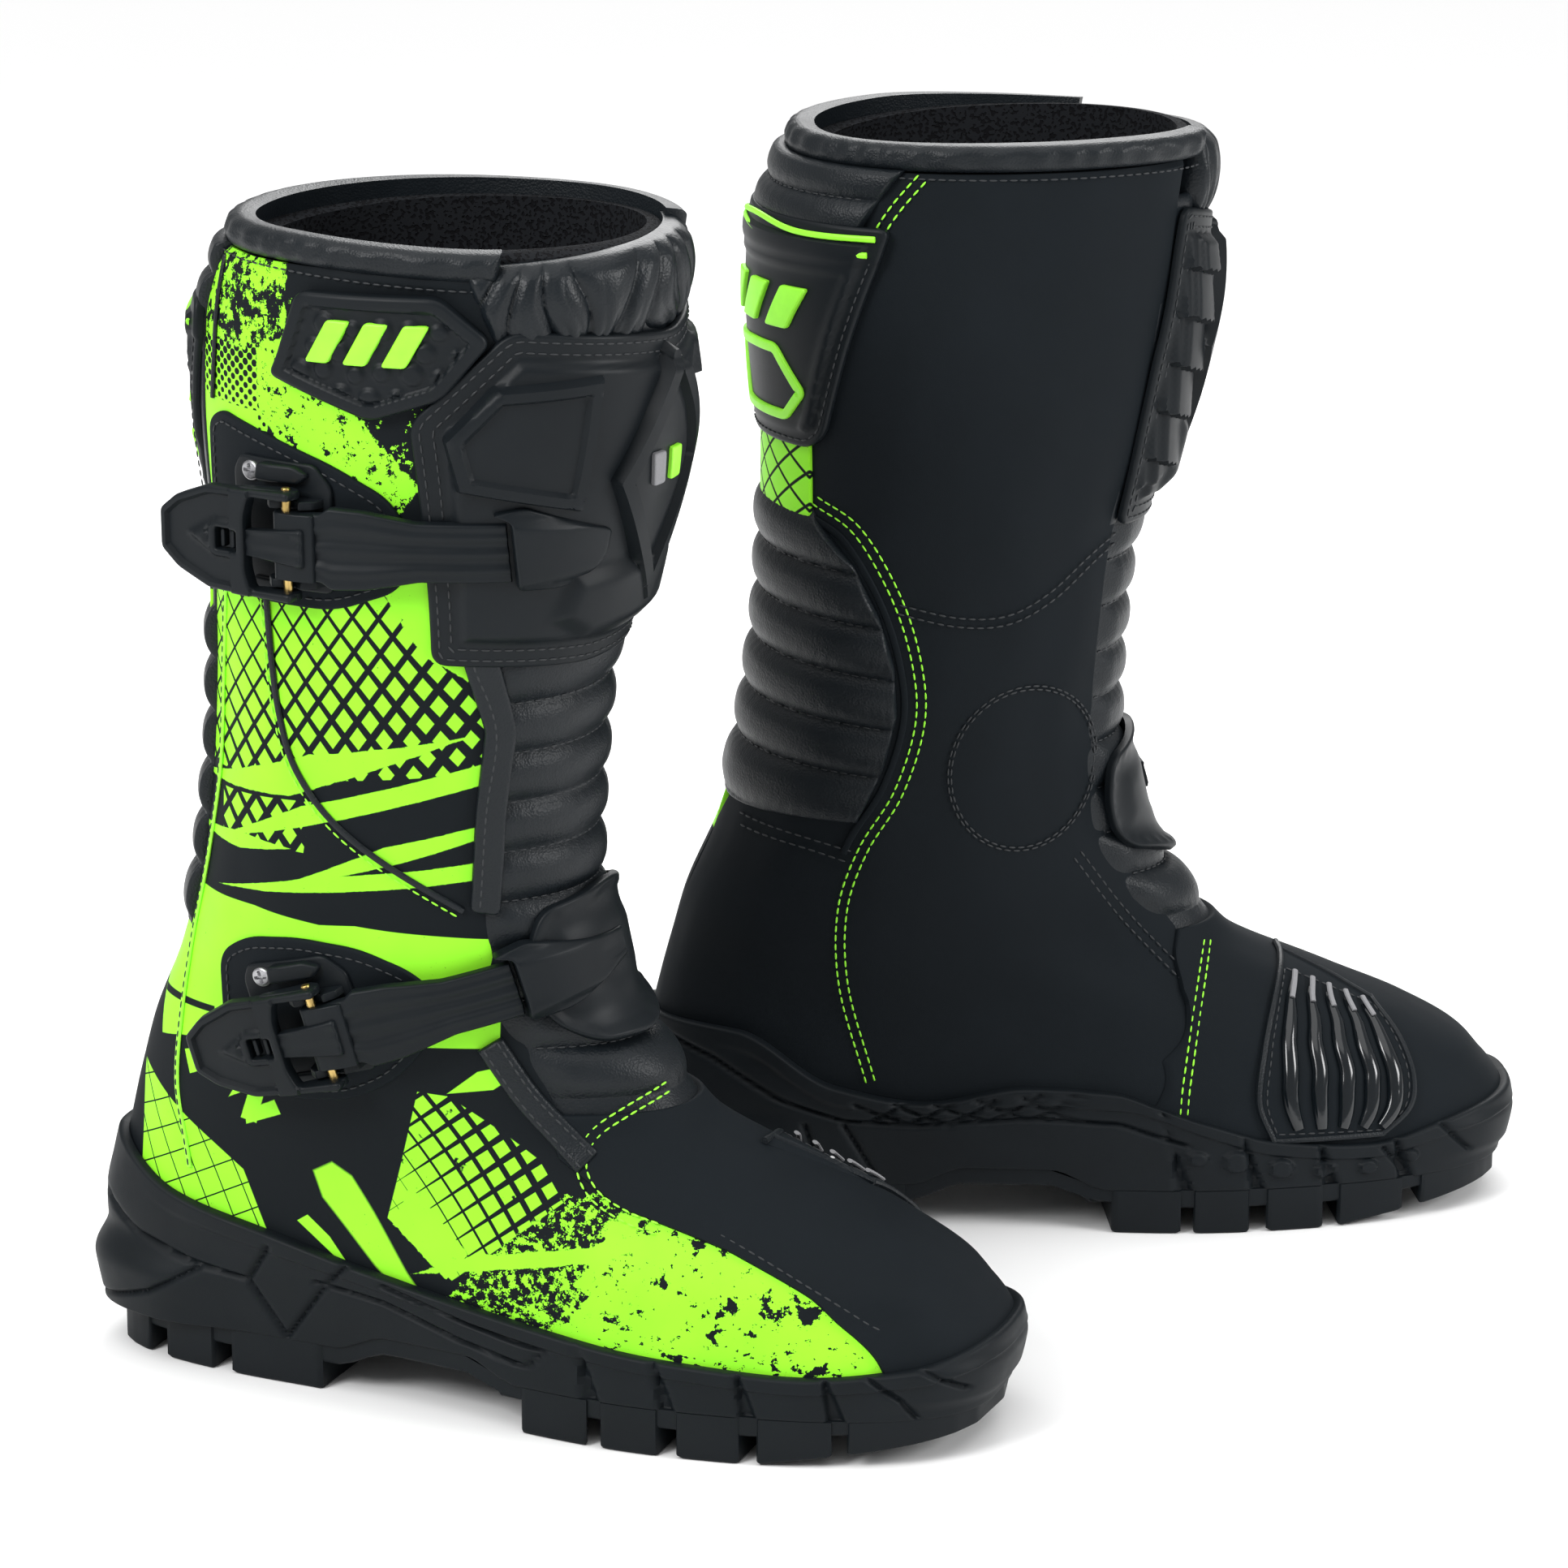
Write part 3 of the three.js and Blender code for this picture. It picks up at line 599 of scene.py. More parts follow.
class Field:
    """A number that varies over a surface, worked out by Math nodes."""

    def __init__(self, tree, socket):
        self.tree = tree
        self.socket = socket

    def math(self, kind, *others, clamp=False):
        node = self.tree.nodes.new("ShaderNodeMath")
        node.operation = kind
        node.use_clamp = clamp
        for slot, value in zip(node.inputs, (self, *others)):
            if isinstance(value, Field):
                self.tree.links.new(value.socket, slot)
            else:
                slot.default_value = value
        return Field(self.tree, node.outputs[0])

    def __add__(self, other):
        return self.math("ADD", other)

    def __sub__(self, other):
        return self.math("SUBTRACT", other)

    def __mul__(self, other):
        return self.math("MULTIPLY", other)

    def below(self, limit, soft=0.25):
        """1 where the field is below limit, 0 above it."""
        return ((self - limit) * (-1 / soft)).math("ADD", 0.5, clamp=True)

    def above(self, limit, soft=0.25):
        return ((self - limit) * (1 / soft)).math("ADD", 0.5, clamp=True)

    def either(self, other):
        return self.math("MAXIMUM", other)

    def both(self, other):
        return self.math("MINIMUM", other)

    def away(self):
        return (self * -1) + 1


class Look:
    """A node material with one Principled shader and helpers for fields."""

    def __init__(self, name, color, roughness, metallic=0.0, **constants):
        self.material = bpy.data.materials.new(name)
        self.material.use_nodes = True
        self.tree = self.material.node_tree
        self.shader = self.tree.nodes["Principled BSDF"]
        self.shader.inputs["Base Color"].default_value = (*color, 1)
        self.shader.inputs["Roughness"].default_value = roughness
        self.shader.inputs["Metallic"].default_value = metallic
        for key, value in constants.items():
            self.shader.inputs[key].default_value = value
        node = self.tree.nodes.new("ShaderNodeAttribute")
        node.attribute_name = "boot_mm"
        self.place = node.outputs["Vector"]
        split = self.tree.nodes.new("ShaderNodeSeparateXYZ")
        self.tree.links.new(self.place, split.inputs[0])
        self.x, self.y, self.z = (Field(self.tree, split.outputs[k]) for k in range(3))
        self.bump_chain = None

    def position(self):
        """Object position in metres, for fine grain that needs no layout."""
        return self.tree.nodes.new("ShaderNodeTexCoord").outputs["Object"]

    def noise(self, size, detail=2.0, rough=0.5, where=None, seed=0.0):
        """Noise with lumps of about the given size in millimetres."""
        node = self.tree.nodes.new("ShaderNodeTexNoise")
        node.noise_dimensions = "4D"
        node.inputs["W"].default_value = seed
        node.inputs["Scale"].default_value = 1 / size
        node.inputs["Detail"].default_value = detail
        node.inputs["Roughness"].default_value = rough
        self.tree.links.new(self.place if where is None else where, node.inputs["Vector"])
        return Field(self.tree, node.outputs[0])

    def cells(self, size, feature="F1", randomness=1.0):
        node = self.tree.nodes.new("ShaderNodeTexVoronoi")
        node.feature = feature
        node.inputs["Scale"].default_value = 1 / size
        node.inputs["Randomness"].default_value = randomness
        self.tree.links.new(self.place, node.inputs["Vector"])
        return Field(self.tree, node.outputs["Distance"])

    def bump(self, field, distance_mm, strength=1.0):
        node = self.tree.nodes.new("ShaderNodeBump")
        node.inputs["Distance"].default_value = distance_mm / 1000
        node.inputs["Strength"].default_value = strength
        self.tree.links.new(field.socket, node.inputs["Height"])
        if self.bump_chain is not None:
            self.tree.links.new(self.bump_chain, node.inputs["Normal"])
        self.bump_chain = node.outputs[0]
        self.tree.links.new(self.bump_chain, self.shader.inputs["Normal"])

    def range(self, field, low, high):
        node = self.tree.nodes.new("ShaderNodeMapRange")
        self.tree.links.new(field.socket, node.inputs["Value"])
        node.inputs["To Min"].default_value = low
        node.inputs["To Max"].default_value = high
        return Field(self.tree, node.outputs[0])

    def roughness(self, field, low, high):
        self.tree.links.new(self.range(field, low, high).socket, self.shader.inputs["Roughness"])

    def mix(self, field, low, high):
        """A colour between two colours, each an RGB triple or a socket."""
        node = self.tree.nodes.new("ShaderNodeMix")
        node.data_type = "RGBA"
        self.tree.links.new(field.socket, node.inputs["Factor"])
        for slot, value in ((node.inputs[6], low), (node.inputs[7], high)):
            if isinstance(value, tuple):
                slot.default_value = (*value, 1)
            else:
                self.tree.links.new(value, slot)
        return node.outputs[2]

    def color(self, socket):
        self.tree.links.new(socket, self.shader.inputs["Base Color"])


BLACK = (0.0042, 0.0063, 0.0082)
BLACK_LIGHT = (0.0074, 0.0102, 0.0130)
GREEN = (0.36, 1.0, 0.035)
GREEN_DARK = (0.25, 0.80, 0.025)


def suede_look():
    look = Look("black_microfibre", BLACK, 0.72, **{"Specular IOR Level": 0.10})
    fine = look.noise(0.35, 4, 0.7)
    broad = look.noise(22, 3)
    look.color(look.mix(broad, BLACK, BLACK_LIGHT))
    look.bump(fine, 0.10, 0.55)
    look.bump(look.noise(9, 2), 0.5, 0.25)
    look.roughness(broad, 0.62, 0.80)
    return look.material


def leather_look(name="black_leather", rough=(0.36, 0.5), grain=0.8, depth=0.14):
    look = Look(name, BLACK, 0.42, **{"Specular IOR Level": 0.24})
    pebble = look.cells(grain)
    broad = look.noise(14, 3)
    look.color(look.mix(broad, BLACK, BLACK_LIGHT))
    look.bump(pebble, depth, 0.8)
    look.bump(look.noise(5, 3), 0.5, 0.3)
    look.roughness(broad, *rough)
    return look.material


def moulded_look():
    look = Look("moulded_plastic", BLACK, 0.45, **{"Specular IOR Level": 0.16})
    broad = look.noise(30, 3)
    look.color(look.mix(broad, (0.0034, 0.0050, 0.0064), (0.0070, 0.0096, 0.0120)))
    look.bump(look.noise(0.5, 3, 0.6), 0.05, 0.5)
    look.roughness(look.noise(12, 4), 0.36, 0.52)
    return look.material


def gloss_look():
    look = Look("gloss_rubber", BLACK, 0.12)
    look.roughness(look.noise(8, 3), 0.07, 0.2)
    look.bump(look.noise(6, 2), 0.2, 0.3)
    return look.material


def rubber_look():
    look = Look("sole_rubber", BLACK, 0.6, **{"Specular IOR Level": 0.15})
    broad = look.noise(18, 4)
    look.color(look.mix(broad, (0.0034, 0.0050, 0.0064), (0.0066, 0.0092, 0.0116)))
    look.bump(look.noise(0.6, 3, 0.6), 0.07, 0.5)
    look.roughness(look.noise(9, 4), 0.42, 0.66)
    return look.material


def green_rubber_look():
    look = Look("green_rubber", GREEN, 0.45)
    look.color(look.mix(look.noise(6, 3), GREEN_DARK, GREEN))
    look.bump(look.noise(0.7, 2), 0.05, 0.5)
    return look.material


def thread_look(name, dark, light):
    look = Look(name, light, 0.6)
    look.color(look.mix(look.noise(0.5, 2), dark, light))
    look.bump(look.noise(0.25, 2), 0.08, 0.8)
    return look.material


def metal_look(name, dark, light, roughness):
    look = Look(name, light, roughness, metallic=1.0)
    look.color(look.mix(look.noise(2, 3), dark, light))
    look.roughness(look.noise(0.8, 3), roughness * 0.7, roughness * 1.4)
    return look.material


def lining_look():
    """Open mesh: small holes in a soft black knit."""
    look = Look("lining_mesh", (0.02, 0.02, 0.022), 0.9, **{"Specular IOR Level": 0.1})
    hole = look.noise(1.3, 1, 0.3).below(0.44, 0.06)
    look.color(look.mix(hole, (0.010, 0.011, 0.013), (0.004, 0.004, 0.005)))
    look.bump(hole.away(), 0.7, 1.0)
    look.bump(look.noise(0.4, 2), 0.1, 0.6)
    return look.material


def board_look():
    look = Look("fibre_board", (0.3, 0.26, 0.19), 0.85)
    look.color(look.mix(look.noise(2, 4), (0.22, 0.19, 0.13), (0.36, 0.31, 0.22)))
    look.bump(look.noise(0.6, 3), 0.1, 0.6)
    return look.material


def convex(look, corners, rough=None):
    """Depth in millimetres inside a convex outline of (x, height) corners listed anticlockwise."""
    depth = None
    for (x1, z1), (x2, z2) in zip(corners, corners[1:] + corners[:1]):
        length = math.hypot(x2 - x1, z2 - z1)
        nx, nz = -(z2 - z1) / length, (x2 - x1) / length
        side = look.x * nx + look.z * nz - (x1 * nx + z1 * nz)
        depth = side if depth is None else depth.both(side)
    return depth if rough is None else depth + rough


def print_look():
    """The printed outer side: worn green shapes, lattices and stripes on black microfibre."""
    look = Look("green_print", BLACK, 0.55, **{"Specular IOR Level": 0.12})
    x, z = look.x, look.z
    wear = look.noise(2.2, 4, 0.75)
    coarse = look.noise(8, 3, 0.6, seed=3)
    ragged = (wear - 0.5) * 7 + (coarse - 0.5) * 6
    shape = lambda corners, rough=None, soft=0.3: convex(look, corners, rough).above(0, soft)

    # A diamond lattice on the shaft, its lines wider towards the front and the foot.
    across, up = x * 0.115 + z * 0.085, x * 0.115 - z * 0.085
    line = across.math("PINGPONG", 0.5).both(up.math("PINGPONG", 0.5))
    weight = (x * 0.0015 - z * 0.0018 + 0.440).math("MAXIMUM", 0.060)
    lattice = (line - weight).above(0, 0.03)
    shaft = shape([(30, 226), (157, 236), (157, 304), (30, 304)])
    corner_patch = shape([(124, 304), (140, 276), (157, 264), (157, 304)], ragged * 0.3)
    swipe = shape([(30, 222), (92, 225), (157, 250), (157, 259), (100, 240), (30, 229)], ragged * 0.15)
    middle = lattice.both(shaft).either(corner_patch.both(coarse.below(0.62, 0.02))).either(swipe)

    # Slanted strokes and zigzags above the ankle, over a broad green band.
    strokes = [
        [(30, 212), (66, 217), (104, 206), (66, 211)],
        [(60, 205), (157, 232), (157, 239), (96, 222)],
        [(30, 196), (70, 203), (118, 199), (118, 204), (70, 209), (30, 203)],
        [(84, 192), (130, 205), (157, 214), (157, 218), (124, 210)],
        [(60, 188), (157, 199), (157, 205), (100, 198)],
    ]
    stroke = None
    for corners in strokes:
        field = shape(corners, ragged * 0.08)
        stroke = field if stroke is None else stroke.either(field)
    chips = lattice.both(shape([(62, 208), (96, 206), (100, 224), (62, 222)]))
    band = shape([(30, 140), (157, 140), (157, 183), (90, 184), (30, 190)])
    slashes = shape([(62, 186), (100, 181), (150, 184), (150, 187)]).either(
        shape([(30, 142), (56, 142), (56, 144.5), (30, 144.5)]))
    ankle = stroke.either(chips).either(band.both(slashes.away()))

    # Splatter, halftone dots and a worn stripe round the top.
    splatter = look.noise(5.0, 5, 0.72, seed=7).above(0.50, 0.015)
    top_field = shape([(30, 372), (96, 372), (96, 402), (30, 402)], ragged * 0.5).both(splatter)
    stripe = shape([(84, 352), (98, 338), (134, 322), (141, 332), (120, 356), (96, 378), (84, 372)],
                   ragged * 0.5)
    stripe = stripe.both(look.noise(3.0, 4, 0.7, seed=13).below(0.565, 0.015))
    dot = ((x * 0.26 + z * 0.26).math("PINGPONG", 0.5).math("POWER", 2.0)
           + (x * 0.26 - z * 0.26).math("PINGPONG", 0.5).math("POWER", 2.0)).math("SQRT")
    halftone = (dot - (z * 0.009 - 2.86)).above(0, 0.05)
    halftone = halftone.both(shape([(30, 346), (88, 346), (88, 376), (30, 376)]))
    solid_top = shape([(30, 300), (62, 300), (84, 344), (84, 352), (30, 353)])
    flecks = shape([(96, 352), (150, 330), (150, 392), (96, 392)], ragged).both(
        look.noise(4.5, 4, 0.7, seed=4).above(0.60, 0.015))
    upper = top_field.either(stripe).either(halftone).either(solid_top).either(flecks)

    # The heel: a green grid with a dark sweep and a broken zigzag.
    grid_x = (x * 0.11 + z * 0.05).math("PINGPONG", 0.5)
    grid_z = (x * 0.05 - z * 0.10).math("PINGPONG", 0.5)
    grid = grid_x.both(grid_z).above(0.03, 0.02)
    heel = shape([(20, 60), (104, 60), (80, 76), (58, 100), (46, 128), (20, 128)]).both(grid)
    marks = [
        [(30, 128), (62, 136), (62, 142), (30, 140)],
        [(44, 118), (66, 128), (64, 134), (42, 126)],
        [(60, 113), (78, 122), (76, 126), (66, 122)],
        [(64, 106), (70, 105), (74, 116), (68, 116)],
        [(66, 104), (80, 110), (78, 115), (66, 109)],
    ]
    for corners in marks:
        heel = heel.either(shape(corners, ragged * 0.06))

    # The side of the foot: a square lattice, a rounded sweep, thin swooshes and a worn toe.
    s, t = x * 0.80 + z * 0.60, x * 0.60 - z * 0.80
    square = (s * 0.150).math("PINGPONG", 0.5).both((t * 0.150).math("PINGPONG", 0.5))
    squares = (square - ((s - 150) * 0.0042).math("MAXIMUM", 0.02)).above(0, 0.03)
    block = shape([(118, 78), (142, 60), (182, 92), (176, 100), (140, 123), (130, 124)])
    solid_block = shape([(120, 76), (140, 60), (148, 70), (126, 90)], ragged * 0.25)
    block = block.both(squares).both(coarse.below(0.66, 0.03)).either(solid_block)
    bar = shape([(116, 57), (131, 50), (113, 79), (105, 91), (98, 95), (91, 91), (94, 82)], None, 1.0)
    thin = shape([(84, 72), (112, 50), (118, 50), (96, 68), (90, 76)])
    ray = shape([(128, 60), (196, 74), (214, 82), (150, 70)], ragged * 0.25)
    bridge = shape([(140, 124), (155, 126), (162, 131), (162, 135), (150, 132)])
    toe = shape([(176, 38), (300, 34), (300, 60), (268, 84), (214, 100), (196, 86)], ragged * 1.3)
    toe = toe.both(look.noise(6.5, 4, 0.68, seed=11).below(0.580, 0.012))
    toe = toe.both(look.noise(2.6, 3, 0.7, seed=21).below(0.645, 0.015))
    dust = shape([(120, 40), (210, 38), (214, 96), (168, 92), (150, 66)], ragged * 0.8)
    dust = dust.both(look.noise(2.8, 4, 0.72, seed=5).above(0.53, 0.015))
    foot = block.either(bar).either(thin).either(ray).either(bridge).either(toe).either(dust)

    nicks = look.noise(1.2, 3, 0.8, seed=2).below(0.70, 0.03)
    green = middle.either(ankle).either(upper).either(heel).either(foot).both(nicks)
    tone = look.noise(24, 3, seed=9)
    look.color(look.mix(green, BLACK, look.mix(tone, GREEN, GREEN_DARK)))
    look.bump(look.noise(0.4, 3, 0.6), 0.06, 0.5)
    look.bump(green, 0.05, 0.6)
    look.roughness(green, 0.68, 0.46)
    return look.material


def material_set():
    return {
        "suede": suede_look(),
        "leather": leather_look(),
        "soft_leather": leather_look("gathered_leather", (0.30, 0.46), 0.9, 0.10),
        "moulded": moulded_look(),
        "gloss": gloss_look(),
        "rubber": rubber_look(),
        "green_rubber": green_rubber_look(),
        "green_thread": thread_look("green_thread", GREEN_DARK, GREEN),
        "black_thread": thread_look("black_thread", (0.007, 0.009, 0.011), (0.016, 0.019, 0.022)),
        "brass": metal_look("brass", (0.42, 0.28, 0.08), (0.72, 0.52, 0.2), 0.32),
        "steel": metal_look("steel", (0.28, 0.28, 0.29), (0.5, 0.5, 0.52), 0.35),
        "lining": lining_look(),
        "board": board_look(),
        "print": print_look(),
        "grey_mark": thread_look("grey_mark", (0.16, 0.16, 0.17), (0.24, 0.24, 0.25)),
    }


MATERIALS = material_set()

# ---------- Seam lines and edges that several pieces share, as (angle, height) corners ----------

TUCK = 7


def foot_at(corner):
    return corner[0], float(cup_edge(corner[0])) - TUCK


VAMP_OUTER_EDGE = [(53, 118), (62, 104), outer(201, 91), outer(240, 80), outer(268, 68),
                   foot_at(outer(294, 50))]
VAMP_INNER_EDGE = [(-34, 118), inner(199, 98), inner(194, 74), foot_at(inner(190, 50))]
FRONT_OUTER_ANGLE = 53
FRONT_INNER_ANGLE = -40
REAR_OUTER_ANGLE = 152
REAR_INNER_ANGLE = -146
PANEL_TOP = 401


def side_edge(angle, vamp_edge):
    return [(angle, PANEL_TOP), (angle, 332), (angle, 272), (angle, 220), (angle, 178), (angle, 147),
            *vamp_edge]


def heel_edge(angle, heel_angle):
    heights = [PANEL_TOP, 332, 272, 220, 182, 157, 140, 125, 112, 98, 88]
    shares = [0, 0, 0, 0, 0.5, 1, 1, 1, 1, 1, 1]
    corners = [(angle + (heel_angle - angle) * s, h) for s, h in zip(shares, heights)]
    return corners + [foot_at((heel_angle, 50))]


# ---------- Building for both boots ----------


def add(name, geometry, material, body="boot", replaces=(), sharp=40, chart=None):
    """Makes one piece on each boot."""
    points, faces = geometry
    for side in PLACES:
        piece = mesh_piece(name, side, body, points, faces, material, replaces, sharp, chart)


THREADS = {"green_thread": [], "black_thread": []}


def as_drawn(angle, height):
    """The chart of a line that is already given as angles and heights."""
    return angle, height


def sew(thread, chart, line, lift, **settings):
    THREADS[thread].append(seam(chart, line, lift, **settings))


def sew_rows(thread, chart, line, distances, lift, **settings):
    """Rows of stitches beside a line, each at a distance from it."""
    for distance in distances:
        sew(thread, chart, beside(line, distance), lift, **settings)


def sew_round(thread, chart, outline, lift, depth, **settings):
    """A row of stitches inside an outline, at a depth from its edge."""
    row = inset(evenly(outline, 2.0, closed=True), depth)
    sew(thread, chart, np.concatenate([row, row[:1]]), lift, **settings)


def depth_in(corners, p, q):
    """Depth inside a convex outline listed anticlockwise, negative outside."""
    depth = np.full(np.shape(p), np.inf)
    for (p1, q1), (p2, q2) in zip(corners, corners[1:] + corners[:1]):
        length = math.hypot(p2 - p1, q2 - q1)
        depth = np.minimum(depth, ((q1 - q2) * (p - p1) + (p2 - p1) * (q - q1)) / length)
    return depth


def anticlockwise(corners, p, q):
    """The corners in anticlockwise order, given a point inside them."""
    return corners if depth_in(corners, p, q) > 0 else corners[::-1]


def raised(corners, p, q, height, slope=2.0):
    return height * smoothstep(depth_in(corners, p, q), 0, slope)


def creases(x, z, lines, depth, width):
    """Grooves along open lines."""
    spots = np.stack([x.ravel(), z.ravel()], 1)
    gap = np.full(len(spots), np.inf)
    for line in lines:
        gap = np.minimum(gap, distance_to(spots, line, closed=False))
    return -depth * np.exp(-(gap.reshape(x.shape) / width) ** 2)


def edges_of(corners, depths=(-0.3, 0.5, 2.2)):
    """Rows of points beside a relief's edge, so that the mesh follows it."""
    outline = evenly(corners, 1.4, closed=True)
    return [inset(outline, d) for d in depths]


# ---------- Soft upper ----------


def side_panel(name, front, back, material, lift=None):
    place = between(front, back, to_cup=TUCK)
    add(name, shell(place, -3.0, -0.3, 90, 170, lift=lift), material, replaces=[name])


FOLD_ANGLE = 18


def soft_folds(points_scale, amount, seed):
    """Gentle unevenness of worn microfibre."""
    def lift(angle, height, u, v):
        spots = zip(angle.ravel(), height.ravel())
        flat = [noise.noise(Vector((a / FOLD_ANGLE, h / points_scale, seed))) for a, h in spots]
        return amount * np.array(flat).reshape(angle.shape)
    return lift


def panels():
    side_panel("lateral_panel", side_edge(FRONT_OUTER_ANGLE - 3, VAMP_OUTER_EDGE),
               heel_edge(REAR_OUTER_ANGLE, 181), "print", soft_folds(34, 0.7, 2.0))
    side_panel("medial_panel", side_edge(FRONT_INNER_ANGLE + 3, VAMP_INNER_EDGE),
               heel_edge(REAR_INNER_ANGLE, -181), "suede", soft_folds(40, 1.0, 5.0))
    outer_edge = [(a + 1.5, h) for a, h in VAMP_OUTER_EDGE]
    inner_edge = [(a - 1.5, h) for a, h in VAMP_INNER_EDGE]
    add("vamp", shell(between(outer_edge, inner_edge, to_cup=TUCK), -2.6, 1.3, 110, 100,
                      lift=soft_folds(20, 0.5, 8.0)), "suede", replaces=["vamp"])


def rib_profile(height, valleys, depth):
    """Rounded cushions between valleys: 0 on the crests, -depth in the valleys."""
    valleys = np.sort(np.asarray(valleys, float))
    i = np.clip(np.searchsorted(valleys, height) - 1, 0, len(valleys) - 2)
    t = np.clip((height - valleys[i]) / (valleys[i + 1] - valleys[i]), 0, 1)
    return -depth * np.abs(2 * t - 1) ** 2.4


def puckers(angle, height, valleys):
    """Small wrinkles that run out of the stitched valleys."""
    valleys = np.sort(np.asarray(valleys, float))
    gap = np.min(np.abs(height[..., None] - valleys), axis=-1)
    wave = np.sin(angle * 1.9 + 2 * np.sin(height * 0.21)) * np.sin(angle * 0.83 + height * 0.05)
    return 0.16 * wave * np.exp(-(gap / 4) ** 2)


FRONT_VALLEYS = [276, 258, 241, 224, 207, 190, 173, 156, 140, 123]
REAR_VALLEYS = [280, 262, 244, 226, 208, 190, 170]
TOP_VALLEYS = [404, 391, 378, 366]
SIDE_WAVE = [(62, 282), (76, 273), (89, 250), (96, 226), (97, 205), (90, 180), (78, 158), (71, 134),
             (72, 104), (82, 67)]
TOP_WAVE = [(97, 401), (88, 390), (82, 380), (78, 368)]


def before(wave, height, gap):
    """The corner at a height that lies a gap behind a seam on the inner side."""
    heights, places = [z for x, z in reversed(wave)], [x for x, z in reversed(wave)]
    angle, height = inner(float(np.interp(height, heights, places)) - gap, height)
    return angle + 360, height


def droop(angle):
    """How far the rear cushions hang down towards the inner side."""
    return 0.010 * np.clip(angle - 190, 0, 70) ** 1.5


def cushions():
    edge = [(FRONT_OUTER_ANGLE + 1, 276), (FRONT_OUTER_ANGLE + 1, 206), (56, 150), (57, 130), (57, 112)]
    far_edge = [(FRONT_INNER_ANGLE - 1, 276), (FRONT_INNER_ANGLE - 1, 206), (-46, 155), (-48, 132),
                (-42, 114)]

    def lift(angle, height, u, v):
        cushion = 3.3 + rib_profile(height, FRONT_VALLEYS, 3.3) + puckers(angle, height, FRONT_VALLEYS)
        return cushion * smoothstep(np.sin(math.pi * u), 0, 0.42) * smoothstep(height, 119, 125)
    add("front_bellows", shell(between(edge, far_edge), -3.6, -0.9, 100, 260, lift=lift), "leather",
        replaces=["front_bellows"])
    for height in FRONT_VALLEYS[1:-1]:
        spread = np.linspace(FRONT_OUTER_ANGLE - 4, FRONT_INNER_ANGLE + 3, 40)
        sew("black_thread", as_drawn, np.stack([spread, np.full(40, float(height))], 1), -0.5)

    top_levels, low_levels = [402, 390, 378], [277, 262, 244, 226, 208, 188, 168]
    outer_edge = [(REAR_OUTER_ANGLE - 2, h) for h in top_levels + [340, 290] + low_levels]
    inner_edge = [before(TOP_WAVE, h, 5) for h in top_levels] + [(218, 340), (212, 290)]
    inner_edge += [before(SIDE_WAVE, h, 6) for h in low_levels]

    def lift(angle, height, u, v):
        tilted = height + droop(angle)
        low = 3.4 + rib_profile(tilted, REAR_VALLEYS, 3.4) + puckers(angle, height, REAR_VALLEYS)
        high = 3.0 + rib_profile(height, TOP_VALLEYS, 2.6) + puckers(angle, height, TOP_VALLEYS)
        return np.where(height > 366, high, np.where(height < 280, low, 0.2)) * smoothstep(v, -0.01, 0.02)
    add("rear_flex_panel", shell(between(outer_edge, inner_edge), -3.6, 0.4, 110, 300, lift=lift), "leather",
        replaces=["rear_flex_panel"])
    for height in REAR_VALLEYS[1:-1]:
        spread = np.linspace(REAR_OUTER_ANGLE + 2, before(SIDE_WAVE, height, 11)[0], 60)
        sew("black_thread", as_drawn, np.stack([spread, height - droop(spread)], 1), 0.7)
    for height in TOP_VALLEYS[1:-1]:
        spread = np.linspace(REAR_OUTER_ANGLE + 2, before(TOP_WAVE, height, 10)[0], 50)
        sew("black_thread", as_drawn, np.stack([spread, np.full(50, float(height))], 1), 1.1)


def gathers(angle, height, v):
    """Upright folds of elastic fabric that is pulled together along both edges."""
    phase = angle * 0.27 + 1.3 * np.sin(height * 0.09 + angle * 0.13) + 1.5 * np.sin(angle * 0.11 + 1)
    fold = np.abs(np.sin(phase)) ** 0.6
    fine = np.abs(np.sin(phase * 2.7 + 0.8 * np.sin(height * 0.22)))
    near_seam = smoothstep(v, 0.45, 0.95)
    return (0.45 + 0.55 * np.sin(math.pi * v) ** 0.5) * (3.0 * fold + 0.9 * fine * (0.3 + near_seam))


def top_line():
    place = between([(60, 388), (60, 270)], [(FRONT_INNER_ANGLE - 2, 388), (FRONT_INNER_ANGLE - 2, 270)])
    flat = shell(place, -3.0, -0.4, 30, 30)
    gaiter = between([(72, 403), (58, 372)], [(-28, 408), (-30, 376)])
    lift = lambda a, h, u, v: gathers(a, h, v) + 3.2 * np.sin(math.pi * np.clip(v * 1.1, 0, 1)) ** 0.8 - 3.0
    puff = shell(gaiter, -8.0, 0.6, 260, 44, edge=5.0, lift=lift)
    add("tongue", merged([flat, puff]), "soft_leather", replaces=["tongue"],
        sharp=60)

    place = lambda u, v: (360 * u, 26 + (406 - 26) * v)
    add("liner", shell(place, -13.0, -6.0, 150, 120, ring=True, edge=3), "lining",
        replaces=["liner"])

    def roll(u, v):
        angle = 62 + (336 - 62) * u
        dip = 3.0 * (1 - smoothstep(angle, 62, 125)) + 1.0 * smoothstep(angle, 290, 336)
        return angle, 411 - dip - 9.5 * v
    crumple = lambda a, h, u, v: 0.5 * np.sin(a * 0.7 + 2 * np.sin(a * 0.11)) * np.sin(math.pi * v)
    add("collar", shell(roll, -7.0, 1.0, 260, 24, edge=4.0, lift=crumple), "leather",
        replaces=["collar"])
    u = np.linspace(0.015, 0.985, 200)
    angle, level = roll(u, 1.0)
    sew("black_thread", as_drawn, np.stack([angle, level - 2.2], 1), 0.2)


# ---------- Sole ----------

